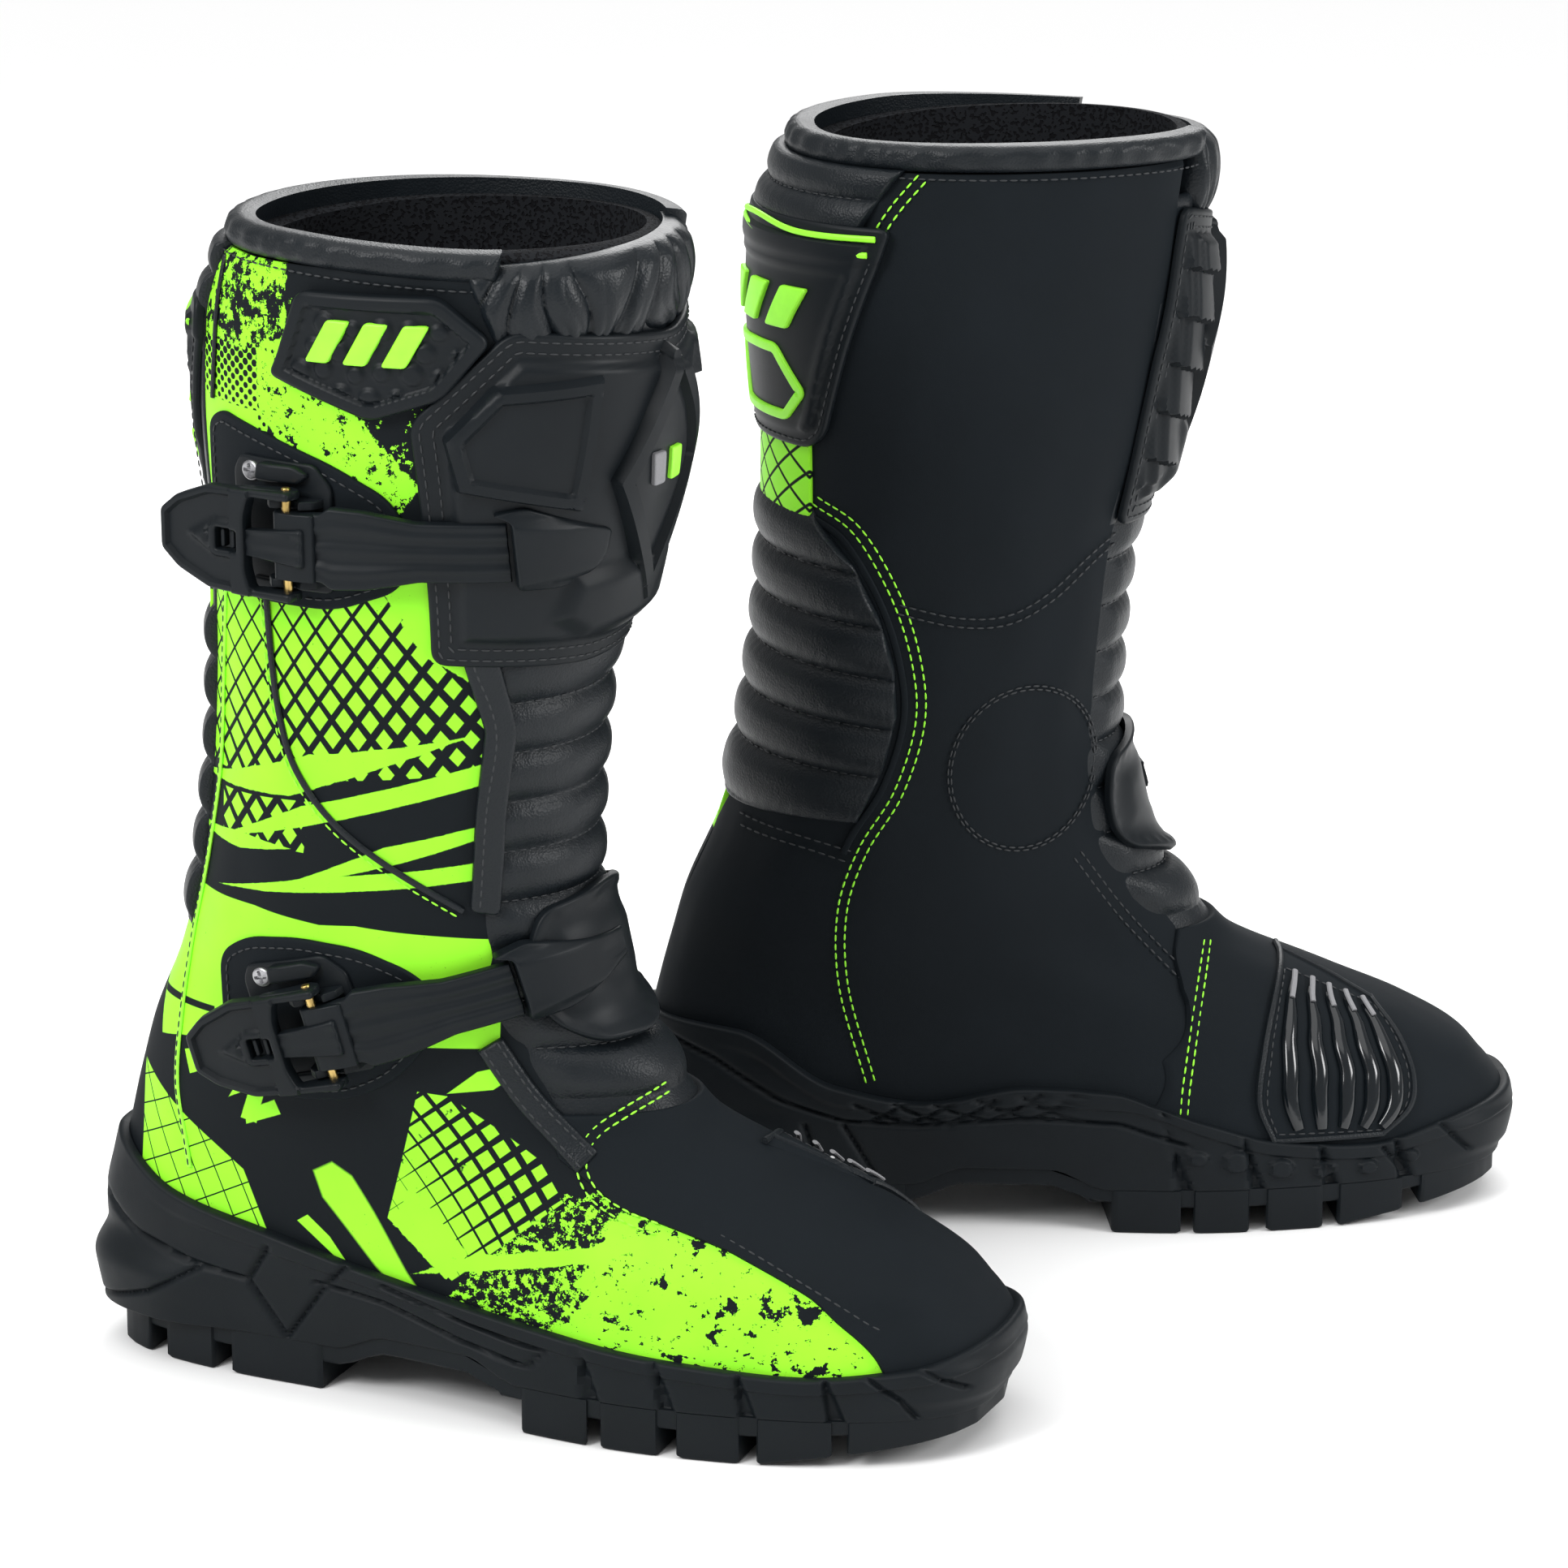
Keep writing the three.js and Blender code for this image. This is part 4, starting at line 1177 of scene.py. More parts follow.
SOLE_TOP = float(above_floor(21.0))
OUTER_GAPS = [(196, 26), (222, 25), (249, 26), (277, 27)]
OUTER_CREASES = [
    [(6, 66), (22, 56), (44, 50), (66, 46)], [(10, 24), (30, 34), (48, 48)], [(66, 46), (80, 22)],
    [(66, 46), (74, 62)], [(80, 22), (96, 50), (104, 60)], [(92, 50), (118, 46), (146, 36), (172, 30)],
    [(118, 54), (150, 44), (178, 38)], [(172, 30), (178, 38)],
    [(286, 40), (296, 30), (300, 22)], [(300, 44), (312, 34)],
]
INNER_CREASES = [
    [(8, 84), (28, 76), (50, 62), (74, 52)], [(74, 52), (100, 50), (140, 54), (172, 52), (196, 42)],
    [(78, 60), (96, 51)], [(92, 60), (112, 50)], [(106, 60), (126, 52)], [(122, 62), (140, 53)],
    [(138, 63), (156, 53)], [(96, 61), (84, 52)], [(112, 60), (98, 51)], [(128, 62), (112, 51)],
    [(144, 64), (126, 52)], [(160, 66), (142, 54)], [(60, 50), (66, 26)], [(30, 46), (36, 26)],
    [(74, 50), (86, 24)], [(268, 36), (276, 24)], [(288, 46), (300, 30)],
]


# Round dots on the inner side of the sole cup: place, height, radius.
INNER_DOTS = [(214, 34, 5.5), (230, 30, 5), (246, 28, 4.5), (262, 28, 4), (200, 36, 4), (278, 31, 3.4)]


def spring(x):
    """How far the tread rises from the floor towards the toe."""
    return 0.15 * np.clip(x - 250, 0, None)


def arch_rise(x):
    """How far the underside lifts between the heel and the ball of the foot."""
    return 7 * smoothstep(x, 97, 118) * (1 - smoothstep(x, 148, 168))


def cup_relief(angle, height, u, v):
    x = surface(angle, height)[..., 0]
    is_outer = np.sin(np.radians(angle)) >= 0
    top = cup_edge(angle)
    lines = np.where(is_outer, creases(x, height, OUTER_CREASES, 1.9, 1.0),
                     creases(x, height, INNER_CREASES, 1.9, 1.0))
    heel = smoothstep(-np.abs(angle % 360 - 180), -62, -38)
    ledge = 6.0 * heel * (1 - smoothstep(height, 40, 56))
    lip = 0.9 * smoothstep(height, top - 6.5, top - 5.5) * smoothstep(x, 20, 60)
    gaps = np.zeros_like(x)
    for place, reach in OUTER_GAPS:
        width = np.clip((reach + 18 - height) * 0.11, 0, 2.8)
        gaps = np.maximum(gaps, smoothstep(width - np.abs(x - place + (height - 20) * 0.22), -1.2, 1.2))
    bubbles = np.zeros_like(x)
    for bx, bz, radius in INNER_DOTS:
        gap = np.hypot(x - bx, height - bz)
        bubbles = np.maximum(bubbles, 2.2 * (1 - smoothstep(gap, radius - 1.4, radius)))
    toe = 1.6 * smoothstep(x, 286, 306) * smoothstep(height, 24, 30) * (1 - smoothstep(height, 40, 46))
    return lines + ledge + lip - 3.0 * gaps + np.where(is_outer, 0, bubbles) + toe


def outline_run(x_from, x_to, side, step=2.0, distance=3.0, level=20.0):
    low, high = max(x_from, float(back_edge(level)) + 0.01), min(x_to, float(fore_edge(level)) - 0.01)
    x = low + (high - low) * np.linspace(0, 1, max(int((high - low) / step), 3) + 1)
    angle = angle_at(x, np.full(len(x), level)) * side
    return lifted(angle, np.full(len(x), level), np.full(len(x), distance))[:, :2]


def tread_block(x_from, x_to, side, inward=9.0):
    """Plan of one lug on the outer side (1), the inner side (-1) or right across (0)."""
    if side == 0:
        run = np.concatenate([outline_run(x_from, x_to, 1), outline_run(x_from, x_to, -1)[::-1]])
    else:
        run = outline_run(x_from, x_to, side)
        run = np.concatenate([run, [(x_to, -side * inward), (x_from, -side * inward)]])
    return filleted(run[::2] if len(run) > 12 else run, 1.2, 1.6)


def tread(p, q, h):
    x = np.asarray(p, float)
    fall = h * (SOLE_TOP - spring(x)) / SOLE_TOP
    return np.stack([x, np.asarray(q, float), SOLE_TOP + arch_rise(x) - fall], -1)


def sole():
    def place(u, v):
        low = 20.2 + arch_rise(surface(360 * u, 20.0 + 0 * u)[..., 0]) * SOLE_ZONE / (SOLE_ZONE - SOLE_SAVING)
        return 360 * u, low + (cup_edge(360 * u) + 0.5 - low) * v
    cup = shell(place, 0.0, 3.4, 760, 64, ring=True, edge=1.4, lift=cup_relief)
    add("sole_cup", cup, "rubber", replaces=["sole_cup"], sharp=50)
    around = np.arange(0, 360, 2.0)
    plan = lifted(around, np.full(180, 20.0), np.full(180, 2.2))[:, :2]
    parts = [slab(plan, tread, 0, 7.0, edge=1.5, spacing=5)]
    lugs = [(6, 27, 0), (31, 53, 1), (57, 95, 1), (31, 53, -1), (57, 99, -1)]
    lugs += [(a, b, s) for s in (1, -1) for a, b in ((170, 195), (198.5, 221), (224.5, 248), (251.5, 276))]
    lugs += [(280, 322, 0)]
    for x_from, x_to, side in lugs:
        parts.append(slab(tread_block(x_from, x_to, side), tread, 0.2, SOLE_TOP, edge=1.3, spacing=6))
    for x_from, x_to in ((31, 49), (56, 90), (178, 196), (203, 218), (228, 244), (255, 271)):
        strip = [(x_from, -6), (x_to, -6), (x_to, 6), (x_from, 6)]
        parts.append(slab(filleted(strip, 1.5, 2), tread, 0.2, SOLE_TOP - 0.8, edge=1.2, spacing=5))
    add("outsole", merged(parts), "rubber", replaces=["outsole"], sharp=50)


# ---------- Moulded plates ----------


def slanted_bars(p, q, width, height, lean, count=3):
    """Outlines of slanted bars side by side: a plain decoration in place of lettering."""
    pitch = width / count
    for i in range(count):
        left = p + i * pitch
        yield [(left, q), (left + pitch * 0.62, q), (left + pitch * 0.62 + lean, q + height),
               (left + lean, q + height)]


def bubbles(seed, low, high, pitch):
    """Round spots on a loose grid: middle and radius."""
    random = np.random.default_rng(seed)
    for row, z in enumerate(np.arange(low[1], high[1], pitch * 0.8)):
        for x in np.arange(low[0] + (row % 2) * pitch / 2, high[0], pitch):
            yield x + random.uniform(-0.9, 0.9), z + random.uniform(-0.9, 0.9), random.uniform(3.0, 4.3)


def cuff_plate():
    corners = [(95, 372), (92, 366), (127, 354), (150, 362), (165, 381), (150, 395), (103, 394)]
    outline = filleted(corners, 4)
    spots = list(bubbles(4, (94, 354), (163, 393), 9.4))

    def relief(p, q, d):
        rim = 1.4 * smoothstep(-d, -5.2, -4.2)
        dents = np.zeros_like(p)
        for x, z, radius in spots:
            dents = np.maximum(dents, 1 - smoothstep(np.hypot(p - x, q - z), radius - 1.6, radius))
        return rim + 1.1 * dents * smoothstep(d, 5.2, 6.4)
    add("cuff_plate", slab(outline, on_surface(outer_chart, 0.3), 0, 3.0, edge=1.6, spacing=0.85,
                           relief=relief),
        "moulded", replaces=["cuff_plate"])
    bars = [slab(filleted(bar, 1.2, 0.8), on_surface(outer_chart, 3.0), 0, 2.2, edge=0.8, spacing=2)
            for bar in slanted_bars(106, 372, 38, 14, 8)]
    add("cuff_marks", merged(bars), "green_rubber")


def calf_plate():
    corners = [(-34, 382), (72, 382), (70, 372), (50, 307), (43, 302), (-8, 302), (-15, 309), (-36, 372)]
    outline = filleted(corners, 4)
    field = [(-24, 366), (58, 366), (42, 310), (-6, 310)]
    field = field[::-1]

    def relief(p, q, d):
        inner_step = 1.6 * smoothstep(d, 5.0, 6.4)
        band = 0.9 * smoothstep(q, 369, 371)
        return inner_step + band - raised([(-22, 313), (-4, 307), (40, 307), (60, 366), (-26, 366)], p, q,
                                          0.9)
    add("calf_plate", slab(outline, on_surface(rear_chart, 0.8), 0, 2.4, edge=1.2, spacing=1.6,
                           relief=relief),
        "moulded", replaces=["calf_plate"])
    sew_round("black_thread", rear_chart, outline, 3.4, 2.6, pitch=3.6, length=2.7)
    parts = []
    for bar in slanted_bars(-14, 344, 58, 15, 9):
        parts.append(slab(filleted(bar, 1.2, 0.8), on_surface(rear_chart, 3.6), 0, 2.0, edge=0.8, spacing=2))
    ring = filleted([(-16, 336), (-2, 311), (34, 311), (44, 322), (30, 338), (14, 338)], 3, 1)
    hole = inset(ring, 3.6)
    parts.append(slab(ring, on_surface(rear_chart, 3.6), 0, 1.6, edge=0.8, spacing=1.6, holes=[hole]))
    for line in ([(-30, 374), (0, 376), (34, 372.5), (66, 373)],
                 [(-30, 374), (10, 380), (40, 378), (68, 378.5)]):
        path, up = surface_path(rear_chart, smooth_line(line), 4.8)
        parts.append(tube(path, up, 1.1, flat=0.8))
    add("calf_marks", merged(parts), "green_rubber")
    strip = filleted([(-30, 277), (44, 277), (42, 305), (-24, 305)], 2)
    points, faces = slab(strip, on_surface(rear_chart, 0.0), 0, 1.5, edge=0.6, spacing=3)
    flat = np.stack([np.interp(points[:, 1], [points[:, 1].min(), points[:, 1].max()], [100, 60]),
                     points[:, 1], on_last(points[:, 2]) - 10], 1)
    add("rear_print_strip", (points, faces), "print", chart=flat)


def shin_plate():
    corners = [(66, 384), (92, 354), (86, 316), (79, 274), (20, 270), (-45, 272), (-47, 330), (-42, 385),
               (0, 377)]
    outline = filleted(corners, 5)
    quad = [(40, 325), (78, 333), (83, 350), (70, 367), (37, 369)]
    diamond = [(3, 288), (31, 334), (7, 377), (-21, 334)]
    bulge = [(-28, 281), (30, 279), (46, 288), (40, 306), (-22, 310)]
    steps = anticlockwise([(-42, 284), (-16, 290), (-18, 372), (-40, 376)], -28, 330)

    def relief(p, q, d):
        body = 2.6 * smoothstep(d, 8.0, 11.5)
        badge = depth_in(diamond, p, q)
        frame_rise = 4.6 * smoothstep(badge, 0, 1.2) - 2.8 * smoothstep(badge, 5.6, 6.4)
        facet = depth_in(quad, p, q)
        block = 3.8 * smoothstep(facet, 0, 1.6) - 1.8 * smoothstep(facet, 4.6, 5.8)
        stair = np.clip(depth_in(steps, p, q), 0, 1.5) / 1.5 * 3.4 * (1 - ((q - 286 + 0.25 * p) / 17 % 1))
        parts = np.maximum.reduce([frame_rise, block, stair, raised(bulge, p, q, 3.4, 8)])
        return body + parts * smoothstep(d, 2.5, 6.0)
    extra = edges_of(diamond, (0.0, 0.6, 1.2, 5.6, 6.0, 6.4)) + edges_of(quad, (0.0, 0.8, 1.6, 4.6, 5.2, 5.8))
    add("shin_plate", slab(outline, on_surface(front_chart, 0.7), 0, 2.6, edge=1.3, spacing=1.4,
                           relief=relief,
                           extra=extra), "moulded", replaces=["shin_plate"])
    for depth in (2.6, 6.2):
        sew_round("black_thread", front_chart, outline, 3.4, depth, pitch=3.8, length=2.9)
    marks = [slab(filleted(bar, 0.8, 0.8), on_surface(front_chart, 7.0), 0, 2.2, edge=0.6, spacing=2)
             for bar in slanted_bars(-3, 330, 20, 11, 3, 2)]
    add("shin_marks", merged(marks[:1]), "green_rubber")
    add("shin_marks_grey", merged(marks[1:]), "grey_mark")


def strap_chart(buckle):
    (pin_x, pin_z), (hinge_x, hinge_z) = buckle["pin"], buckle["hinge"]
    slope = (hinge_z - pin_z) / (hinge_x - pin_x)
    run = math.hypot(1, slope)

    def chart(p, q):
        p, q = np.asarray(p, float), np.asarray(q, float)
        return outer_chart(p - q * slope / run, pin_z + slope * (p - pin_x) + q / run)
    return chart


def pocket(buckle, base):
    """The moulded pocket that the strap's fixed end runs into."""
    chart = strap_chart(buckle)
    start, end = buckle["hinge"][0] + 4, buckle["front"] + 4
    corners = [(start, -12.5), (start + 10, -13), (end - 6, -11.5), (end - 1, -3), (end + 1, 5),
               (end - 7, 10),
               (start + 4, 15), (start - 5, 13), (start, 11)]
    outline = filleted(corners, 1.6)
    ridge = [(start - 8, -11), (start + 30, -5), (start + 30, 5), (start - 8, 11)]

    def relief(p, q, d):
        slope_down = -3.6 * np.clip((p - start) / (end - start), 0, 1) ** 1.4
        chamfer = -2.4 * (1 - smoothstep(depth_in(ridge, p, q), -3.5, 0.5))
        return slope_down + chamfer
    return slab(outline, on_surface(chart, base), 0, 8.2, edge=0.9, spacing=1.8, relief=relief,
                extra=edges_of(ridge))


def instep_guide():
    corners = [(46, 174), (38, 187), (0, 191), (-38, 184), (-44, 166), (-40, 149), (0, 139), (34, 140),
               (46, 148)]
    outline = filleted(corners, 8)
    relief = lambda p, q, d: 1.0 * smoothstep(-d, -3.4, -2.6) + 1.6 * smoothstep(d, 7, 16)
    plate = slab(outline, on_surface(front_chart, 2.4), 0, 2.2, edge=1.1, spacing=2.2, relief=relief)
    add("instep_guide", merged([plate, pocket(BUCKLES["lower"], 2.6)]), "moulded",
        replaces=["instep_guide"])
    add("upper_strap_guide", pocket(BUCKLES["upper"], 2.6), "moulded",
        replaces=["upper_strap_guide"])


def shift_pad():
    front = smooth_line([(268, 86), (277, 75), (281, 63), (279, 52), (268, 42)])
    back = smooth_line([(235, 103), (229, 92), (224, 78), (221, 60), (227, 42)])
    place = between(*(np.stack(inner_chart(*edge.T), 1) for edge in (front, back)))
    add("shift_pad", shell(place, 0.4, 2.6, 70, 70, edge=1.2), "suede",
        replaces=["shift_pad"])

    def line(u_from, u_to, v_from, v_to, lift, count=40):
        u, v = np.linspace(u_from, u_to, count), np.linspace(v_from, v_to, count)
        angle, height = place(u, v)
        return lifted(angle, height, np.full(count, lift)), normals(angle, height)
    ribs, slots = [], []
    for i in range(5):
        start = 0.20 + 0.165 * i
        v = np.linspace(0.10, 0.90, 50)
        angle, height = place(start - 0.10 * v ** 2, v)
        taper = 3.3 * np.sin(np.linspace(0.06, math.pi - 0.35, len(v))) ** 0.4
        ribs.append(tube(lifted(angle, height, np.full(len(v), 2.6)), normals(angle, height), taper, 14, 0.8))
        path, up = line(start, start, 0.07, 0.18, 4.6, 12)
        slots.append(tube(path, up, 1.1, sides=8, flat=0.6))
    add("shift_pad_ribs", merged(ribs), "gloss", sharp=60)
    add("shift_pad_marks", merged(slots), "grey_mark")
    rim = []
    for ends in ((0.02, 0.02, 0, 1), (0.98, 0.98, 0, 1), (0.02, 0.98, 0.01, 0.01), (0.02, 0.98, 0.99, 0.99)):
        path, up = line(*ends, 2.4, 80)
        rim.append(tube(path, up, 1.2))
        path, up = line(*[min(max(e, 0.06), 0.94) for e in ends], 2.7, 80)
        THREADS["black_thread"].append(stitches(path, up, pitch=3.4, length=2.6))
    add("shift_pad_piping", merged(rim), "leather")


# ---------- Buckles ----------

PIN_RADIUS = 1.5
PIN_REACH = 18.6        # how far the pin reaches to each side of the strap's middle
SCREW_RADIUS = 3.3


def circle(radius, count, middle=(0, 0)):
    turns = np.linspace(0, 2 * math.pi, count + 1)[:-1]
    return [(middle[0] + radius * math.cos(t), middle[1] + radius * math.sin(t)) for t in turns]


def tray(buckle, arch=0.0):
    """Places points in the buckle's axes, bent down towards the lever's tip."""
    origin, forward, up, out = buckle_axes(buckle)

    def mapping(p, q, h):
        p, q, h = np.broadcast_arrays(np.asarray(p, float), np.asarray(q, float), np.asarray(h, float))
        h = h - arch * p * p
        return origin + p[..., None] * forward + q[..., None] * up + h[..., None] * out
    return mapping


def upright(buckle, q_from):
    """Places outlines drawn along the strap and outwards, with their thickness along the pin."""
    origin, forward, up, out = buckle_axes(buckle)

    def mapping(p, q, h):
        p, q, h = np.broadcast_arrays(np.asarray(p, float), np.asarray(q, float), np.asarray(h, float))
        return origin + p[..., None] * forward + (q_from + h)[..., None] * up + q[..., None] * out
    return mapping


def buckle_base(level, buckle):
    chart = strap_chart(buckle)
    x = buckle["pin"][0]
    outline = filleted([(x - 24, -17), (x + 11, -17), (x + 12, -12), (x + 12, 18), (x + 6, 25), (x - 22, 25),
                        (x - 25, 20)], 2)
    parts = [slab(outline, on_surface(chart, 0.8), 0, 2.4, edge=0.9, spacing=3)]
    shelf = filleted([(x - 13, 18.8), (x + 2, 18.8), (x + 5, 22), (x, 24.5), (x - 12, 24.5)], 1.0)
    parts.append(slab(shelf, on_surface(chart, 2.0), 0, 5.6, edge=1.0, spacing=3,
                      relief=lambda p, q, d: -0.16 * np.clip(p - x + 8, 0, None)))
    foot = filleted([(x - 16, -20), (x - 2, -20), (x - 1, -14), (x - 17, -14)], 1.2)
    parts.append(slab(foot, on_surface(chart, 1.0), 0, 3.4, edge=1.0, spacing=3))
    ear_side = filleted([(-9, -8), (10, -8), (8.5, -2.4), (4.6, 0.4), (3.4, -1.4), (0, -2.4), (-2.4, 0.5),
                         (-5.5, 1.4), (-9, -2.5)], 0.5, 0.8)
    for start in (11.7, -14.3):
        parts.append(slab(ear_side, upright(buckle, start), 0, 2.6, edge=0.4, spacing=3))
    add(f"{level}_buckle_base", merged(parts), "moulded",
        replaces=[f"{level}_buckle_base"])

    sx, sz = x - 17, 20.5
    round_head = circle(SCREW_RADIUS, 32, (sx, sz))
    cross = lambda p, q, d: -0.9 * ((np.minimum(abs(p - sx), abs(q - sz)) < 0.45) & (d > 1.2))
    add(f"{level}_screw", slab(round_head, on_surface(chart, 2.9), 0, 1.6, edge=0.8, spacing=0.45,
                               relief=cross),
        "steel", replaces=[f"{level}_screw"])


def strap_width(x, buckle):
    pin = buckle["pin"][0]
    return np.interp(x - pin, [-30, 4.5, 6, 11, 14, 24, 40, 100],
                     [10.8, 10.8, 10.8, 11.2, 13.4, 12.8, 9.7, 9.7])


def strap_rise(u):
    """How far the strap stands off the leather, from the pin's end (0) to the guide's end (1)."""
    return np.interp(u, [0, 0.2, 0.62, 1], [8.2, 7.2, 4.6, 4.4])


def strap(level, buckle):
    chart = strap_chart(buckle)
    pin, hinge = buckle["pin"][0], buckle["hinge"][0]

    def place(u, v):
        p = pin + 3 + (hinge + 3 - pin - 3) * u
        return chart(p, (1 - 2 * v) * strap_width(p, buckle))

    def lift(angle, height, u, v):
        waves = 0.45 * np.cos(2 * math.pi * 3.5 * (v - 0.5)) * smoothstep(np.sin(math.pi * v), 0.25, 0.6)
        hollow = -0.7 * np.sin(math.pi * v) ** 2 * (1 - smoothstep(u, 0.30, 0.6))
        return strap_rise(u) + waves + hollow
    u = tight_ends(60)
    grid_u, grid_v = np.meshgrid(u, tight_ends(34))
    angle, height = place(grid_u, grid_v)
    base, n = surface(angle, height), normals(angle, height)
    rim = rounding(edge_distance(base, False), 1.0)
    high = lift(angle, height, grid_u, grid_v) + 2.2 + 1.0 * rim
    low = strap_rise(grid_u) - 0.6
    band = closed_sheet(base + n * high[..., None], base + n * low[..., None])
    tip = filleted([(8, -6.5), (8, 6.5), (-6, 4.8), (-15, 4.2), (-15, -4.2), (-6, -4.8)], 1.0)
    tongue = slab(tip, tray(buckle, 0.001), 1.6, 4.6, edge=0.8, spacing=2,
                  relief=lambda p, q, d: 0.35 * np.cos(q * 1.4))
    knuckle_side = filleted([(-4, -3.4), (10, -3.4), (11, 2.2), (4, 3.4), (-2, 3.4), (-4, 2)], 1.2, 0.8)
    knuckle = slab(knuckle_side, upright(buckle, -11), 0, 22, edge=0.6, spacing=3)
    add(f"{level}_strap", merged([band, tongue, knuckle]), "moulded",
        body=f"{level}_strap_body", replaces=[f"{level}_strap"])


def closed_sheet(outside, inside):
    rows, columns = outside.shape[:2]
    grid = np.arange(rows * columns).reshape(rows, columns)
    count = grid.size
    faces = []
    for i in range(rows - 1):
        for k in range(columns - 1):
            a, b, c, d = grid[i, k], grid[i, k + 1], grid[i + 1, k + 1], grid[i + 1, k]
            faces += [(a, b, c, d), (a + count, d + count, c + count, b + count)]
    border = np.concatenate([grid[0], grid[1:, -1], grid[-1, -2::-1], grid[-2:0:-1, 0]])
    for a, b in zip(border, np.roll(border, -1)):
        faces.append((a, a + count, b + count, b))
    points = np.concatenate([outside.reshape(-1, 3), inside.reshape(-1, 3)])
    faces = [tuple(int(i) for i in f) for f in faces]
    return points, facing_out(points, faces)


def lever(level, buckle):
    corners = [(4, 18), (4, 15.2), (-11, 15.2), (-13, 8.6), (-13, -8.6), (-11, -15.2), (4, -15.2), (4, -18),
               (-28, -17), (-41, -12), (-48, -6.5), (-48, 6.5), (-41, 12), (-28, 17)]
    outline = filleted(corners, 1.6, 0.9)
    window = filleted([(-25, -3.6), (-16, -3.6), (-16, 3.6), (-25, 3.6)], 0.8, 0.8)
    arrow = anticlockwise([(-27, -6), (-27, 6), (-38, 0)], -30, 0)

    def relief(p, q, d):
        field = -1.5 * smoothstep(d, 2.2, 3.0) * (p < -18.5)
        mark = 1.9 * smoothstep(depth_in(arrow, p, q), -0.3, 2.6)
        block = 1.0 * ((p > -18.5) & (p < -11))
        return field + mark + block
    rim_rows = [inset(outline, depth) for depth in (2.1, 2.6, 3.1)]
    across = np.linspace(-17, 17, 40)
    step_rows = [np.stack([np.full(40, p), across], 1) for p in (-18.9, -18.1, -11.4, -10.6)]
    plate = slab(outline, tray(buckle, 0.0017), 1.2, 5.6, edge=1.0, spacing=1.2, holes=[window],
                 relief=relief, extra=rim_rows + edges_of(arrow) + step_rows)
    tooth = lambda a: filleted([(a, -3), (a + 1.6, -3), (a + 1.6, 3), (a, 3)], 0.5, 0.6)
    teeth = [slab(tooth(a), tray(buckle, 0.0017), 1.0, 4.0, edge=0.5, spacing=2) for a in (-23.6, -19.6)]
    arm_side = filleted([(-16, 0.6), (-4, -2.8), (0, -4), (3.8, -2.4), (4.2, 0), (3.6, 2.6), (-16, 3.4)],
                        0.8, 0.8)
    arms = [slab(arm_side, upright(buckle, start), 0, 2.6, edge=0.5, spacing=3) for start in (15.3, -17.9)]
    add(f"{level}_lever", merged([plate, *teeth, *arms]), "moulded",
        body=f"{level}_lever_body", replaces=[f"{level}_lever"])


def pin(level, buckle):
    rod = slab(circle(PIN_RADIUS, 20), upright(buckle, -PIN_REACH), 0, 2 * PIN_REACH, edge=0.4, spacing=1)
    add(f"{level}_pin", rod, "brass", body=f"{level}_strap_body", replaces=[f"{level}_pin"])


PATCHES = {
    "upper": [(61, 345), (68, 350), (86, 346), (112, 338), (132, 328), (140, 312), (134, 298), (112, 290),
              (80, 290), (60, 297)],
    "lower": [(60, 165), (72, 173), (92, 176), (114, 174), (130, 167), (139, 158), (134, 140), (122, 127),
              (106, 119), (82, 117), (66, 121), (61, 136)],
}


def patch(level):
    outline = filleted(PATCHES[level], 7)
    add(f"{level}_patch", slab(outline, on_surface(outer_chart, -0.2), 0, 1.5, edge=0.9, spacing=3), "suede")
    sew_round("black_thread", outer_chart, outline, 1.5, 3.4)


# ---------- Piping, borders and visible seams ----------

DOUBLE_ROW = (0.0, 3.2)

def trims():
    cords, strips = [], []
    curved = smooth_line([(85, 298), (87, 270), (90, 250), (96, 233), (112, 214), (147, 188)])
    path, up = surface_path(outer_chart, curved, 0.3)
    cords.append(tube(path, up, 1.15, flat=0.8))
    sew("green_thread", outer_chart, beside(curved, -2.6), 0.2)
    rear = smooth_line([(66, 298), (63, 260), (60, 226), (53, 196), (45, 166), (41, 140), (38, 112),
                        (42, 84)])
    path, up = surface_path(outer_chart, rear, 0.2)
    add("rear_seam", tube(path, up, 1.0, flat=0.7), "green_rubber")
    sew("black_thread", outer_chart, rear, 0.8)
    rear_top = smooth_line([(66, 398), (64, 372), (62, 352)])
    path, up = surface_path(outer_chart, rear_top, 0.2)
    cords.append(tube(path, up, 1.0, flat=0.7))

    # Leather border beside the front cushions, on the outer side and round the foot.
    border = [(151, 276), (156, 250), (152, 222), (149, 188), (157, 186), (160, 222), (164, 250), (161, 276)]
    strips.append(slab(filleted(border, 2), on_surface(outer_chart, 0.2), 0, 2.4, edge=1.2, spacing=2.4))
    sew("black_thread", outer_chart, smooth_line([(154, 274), (158.5, 250), (154.5, 222), (151.5, 189)]), 2.5)
    low = smooth_line([(154, 142), (166, 124), (178, 111), (187, 103)])
    band = evenly(np.concatenate([beside(low, -4.4), beside(low, 4.4)[::-1]]), 1.2, closed=True)
    strips.append(slab(band, on_surface(outer_chart, 0.3), 0, 2.3, edge=1.5, spacing=2.2))
    sew_rows("black_thread", outer_chart, low, (-2.4, 2.4), 2.6)
    inner_low = smooth_line([(156, 150), (172, 128), (186, 112), (200, 98)])
    sew_rows("black_thread", inner_chart, inner_low, DOUBLE_ROW, 0.2)
    add("piping", merged(cords), "leather")
    add("border_strip", merged(strips), "leather")


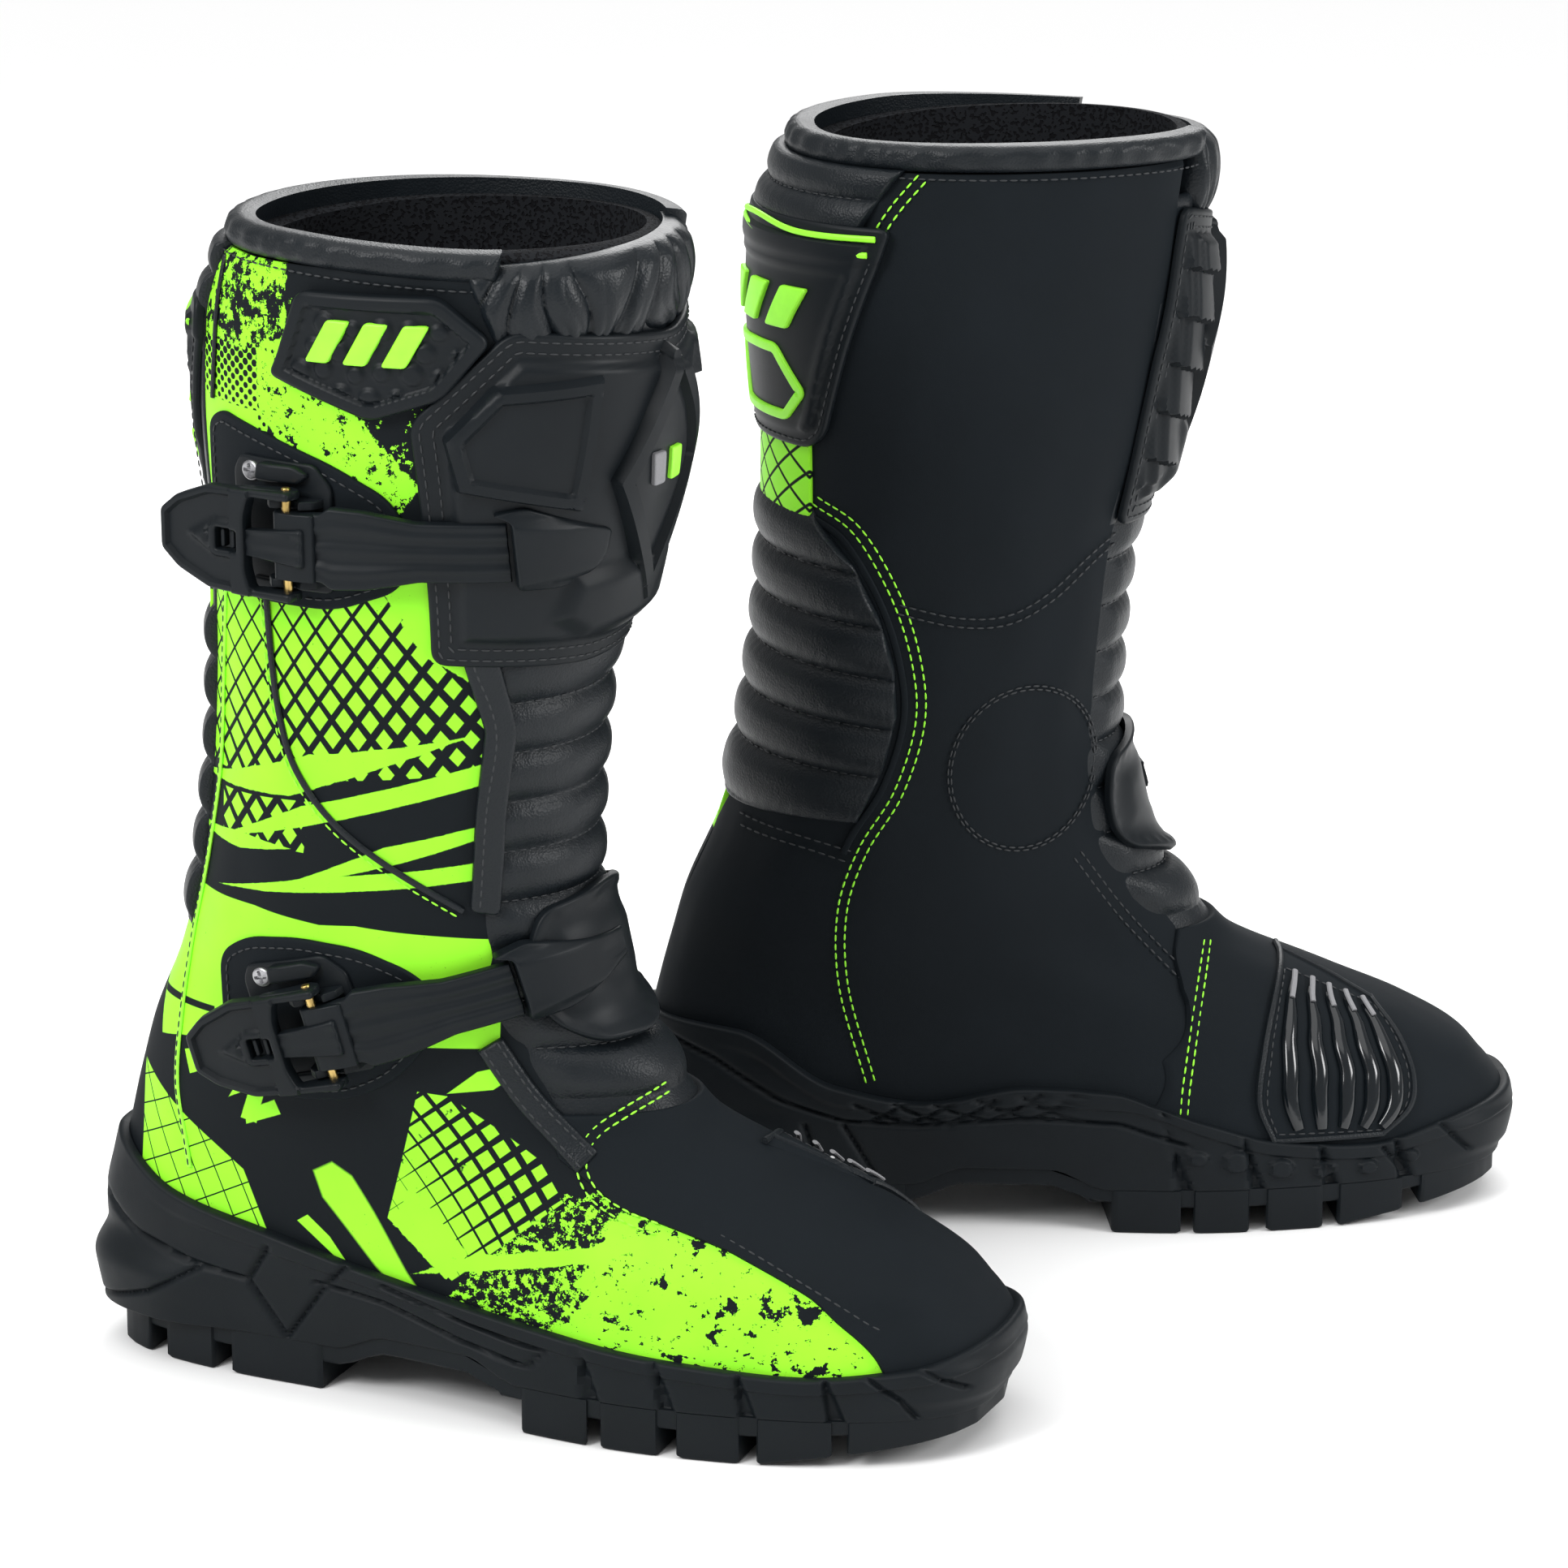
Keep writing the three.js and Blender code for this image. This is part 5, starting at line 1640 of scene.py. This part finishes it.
def decorative_seams():
    vamp_line = smooth_line([(207, 121), (198, 116), (190, 110), (188, 103), (193, 96), (203, 91), (214, 88)])
    sew_rows("green_thread", outer_chart, vamp_line, (-1.5, -4.6), 1.2)
    inner_vamp = smooth_line([(205, 113), (200, 96), (197, 82), (194, 66), (193, 55)])
    sew_rows("green_thread", inner_chart, inner_vamp, (1.0, 3.6), 1.2, pitch=3.6, length=2.8)
    toe_line = smooth_line([(222, 87), (246, 77), (272, 65), (288, 56)])
    sew("black_thread", outer_chart, beside(toe_line, 2.0), 1.1)

    wave = smooth_line(SIDE_WAVE)
    sew_rows("green_thread", inner_chart, wave, DOUBLE_ROW, 0.1)
    path, up = surface_path(inner_chart, beside(wave[: int(len(wave) * 0.62)], -4.2), 0.2)
    add("rib_border", tube(path, up, 1.3, flat=0.6), "suede")
    top = smooth_line(TOP_WAVE)
    sew_rows("green_thread", inner_chart, top, DOUBLE_ROW, 0.2)
    fall = smooth_line([(90, 246), (112, 241), (130, 241), (146, 248), (162, 260), (176, 268)])
    sew_rows("black_thread", inner_chart, fall, DOUBLE_ROW, 0.2)
    ring = [(137 + 28 * math.cos(t), 186 + 31 * math.sin(t)) for t in np.linspace(0, 2 * math.pi, 90)]
    sew("black_thread", inner_chart, ring, 0.2)
    sew("black_thread", inner_chart, [(x * 0.96 + 5.5, z * 0.96 + 7.4) for x, z in ring], 0.2)
    for line in ([(196, 380), (188, 330), (178, 290)], [(38, 165), (60, 161), (76, 157)],
                 [(38, 161), (60, 157), (74, 153)]):
        sew("black_thread", inner_chart, smooth_line(line), 0.3)


def make_threads():
    for thread, parts in THREADS.items():
        add(thread.replace("thread", "stitching"), merged(parts), thread, sharp=60)


INNER_PARTS = {"shank": "steel", "footbed": "board", "toe_puff": "board", "heel_counter": "board"}


def keep_cad(side):
    """CAD nodes inside the boot keep their shape and get their finished material."""
    for node, material in INNER_PARTS.items():
        mesh = frame["nodes"][f"{side}_{node}"].data
        mesh.materials.clear()
        mesh.materials.append(MATERIALS[material])


panels()
cushions()
top_line()
sole()
cuff_plate()
calf_plate()
shin_plate()
instep_guide()
shift_pad()
for level_name, level_buckle in BUCKLES.items():
    patch(level_name)
    buckle_base(level_name, level_buckle)
    strap(level_name, level_buckle)
    lever(level_name, level_buckle)
    pin(level_name, level_buckle)
trims()
decorative_seams()
make_threads()
for boot_side in PLACES:
    keep_cad(boot_side)

# ---------- Floor, light and camera ----------


def make_floor():
    bpy.ops.mesh.primitive_plane_add(size=40, location=(0, 0, 0))
    floor = bpy.context.object
    floor.name = "floor"
    look = Look("pale_floor", (0.9, 0.9, 0.9), 0.75, **{"Specular IOR Level": 0.1})
    look.color(look.mix(look.noise(0.9, 2, where=look.position()), (0.90, 0.90, 0.90), (0.92, 0.92, 0.92)))
    floor.data.materials.append(look.material)


def add_light(name, kind, place, target, power, **settings):
    light = bpy.data.lights.new(name, kind)
    light.energy = power
    for key, value in settings.items():
        setattr(light, key, value)
    lamp = bpy.data.objects.new(name, light)
    bpy.context.scene.collection.objects.link(lamp)
    lamp.location = place
    lamp.rotation_euler = (Vector(target) - Vector(place)).to_track_quat("-Z", "Y").to_euler()


def make_lights():
    world = bpy.data.worlds.new("studio")
    world.use_nodes = True
    background = world.node_tree.nodes["Background"]
    background.inputs["Color"].default_value = (1, 1, 1, 1)
    background.inputs["Strength"].default_value = 0.42
    bpy.context.scene.world = world
    add_light("overhead", "SUN", (0, 0, 3), (0.15, 0.25, 0), 2.0, angle=math.radians(80))
    add_light("key", "AREA", (-1.4, -1.3, 1.5), (0, 0, 0.2), 32, size=0.8)
    add_light("side", "AREA", (1.6, -0.6, 0.9), (0, 0, 0.2), 18, size=0.6)
    add_light("rim", "AREA", (0.2, 1.5, 1.3), (0, 0, 0.25), 20, size=1.0)


CAMERA_PLACE = (-0.0172, -1.943, 0.7494)
CAMERA_PITCH = 16.25
FOCAL_SHARE = 3.75      # focal length as a share of the picture's width


def make_camera():
    data = bpy.data.cameras.new("camera")
    data.sensor_width = 36
    data.lens = 36 * FOCAL_SHARE
    data.clip_end = 80
    camera = bpy.data.objects.new("camera", data)
    bpy.context.scene.collection.objects.link(camera)
    camera.location = CAMERA_PLACE
    camera.rotation_euler = (math.radians(90 - CAMERA_PITCH), 0, 0)
    bpy.context.scene.camera = camera


make_floor()
make_lights()
make_camera()
bpy.context.scene.view_settings.view_transform = "Standard"
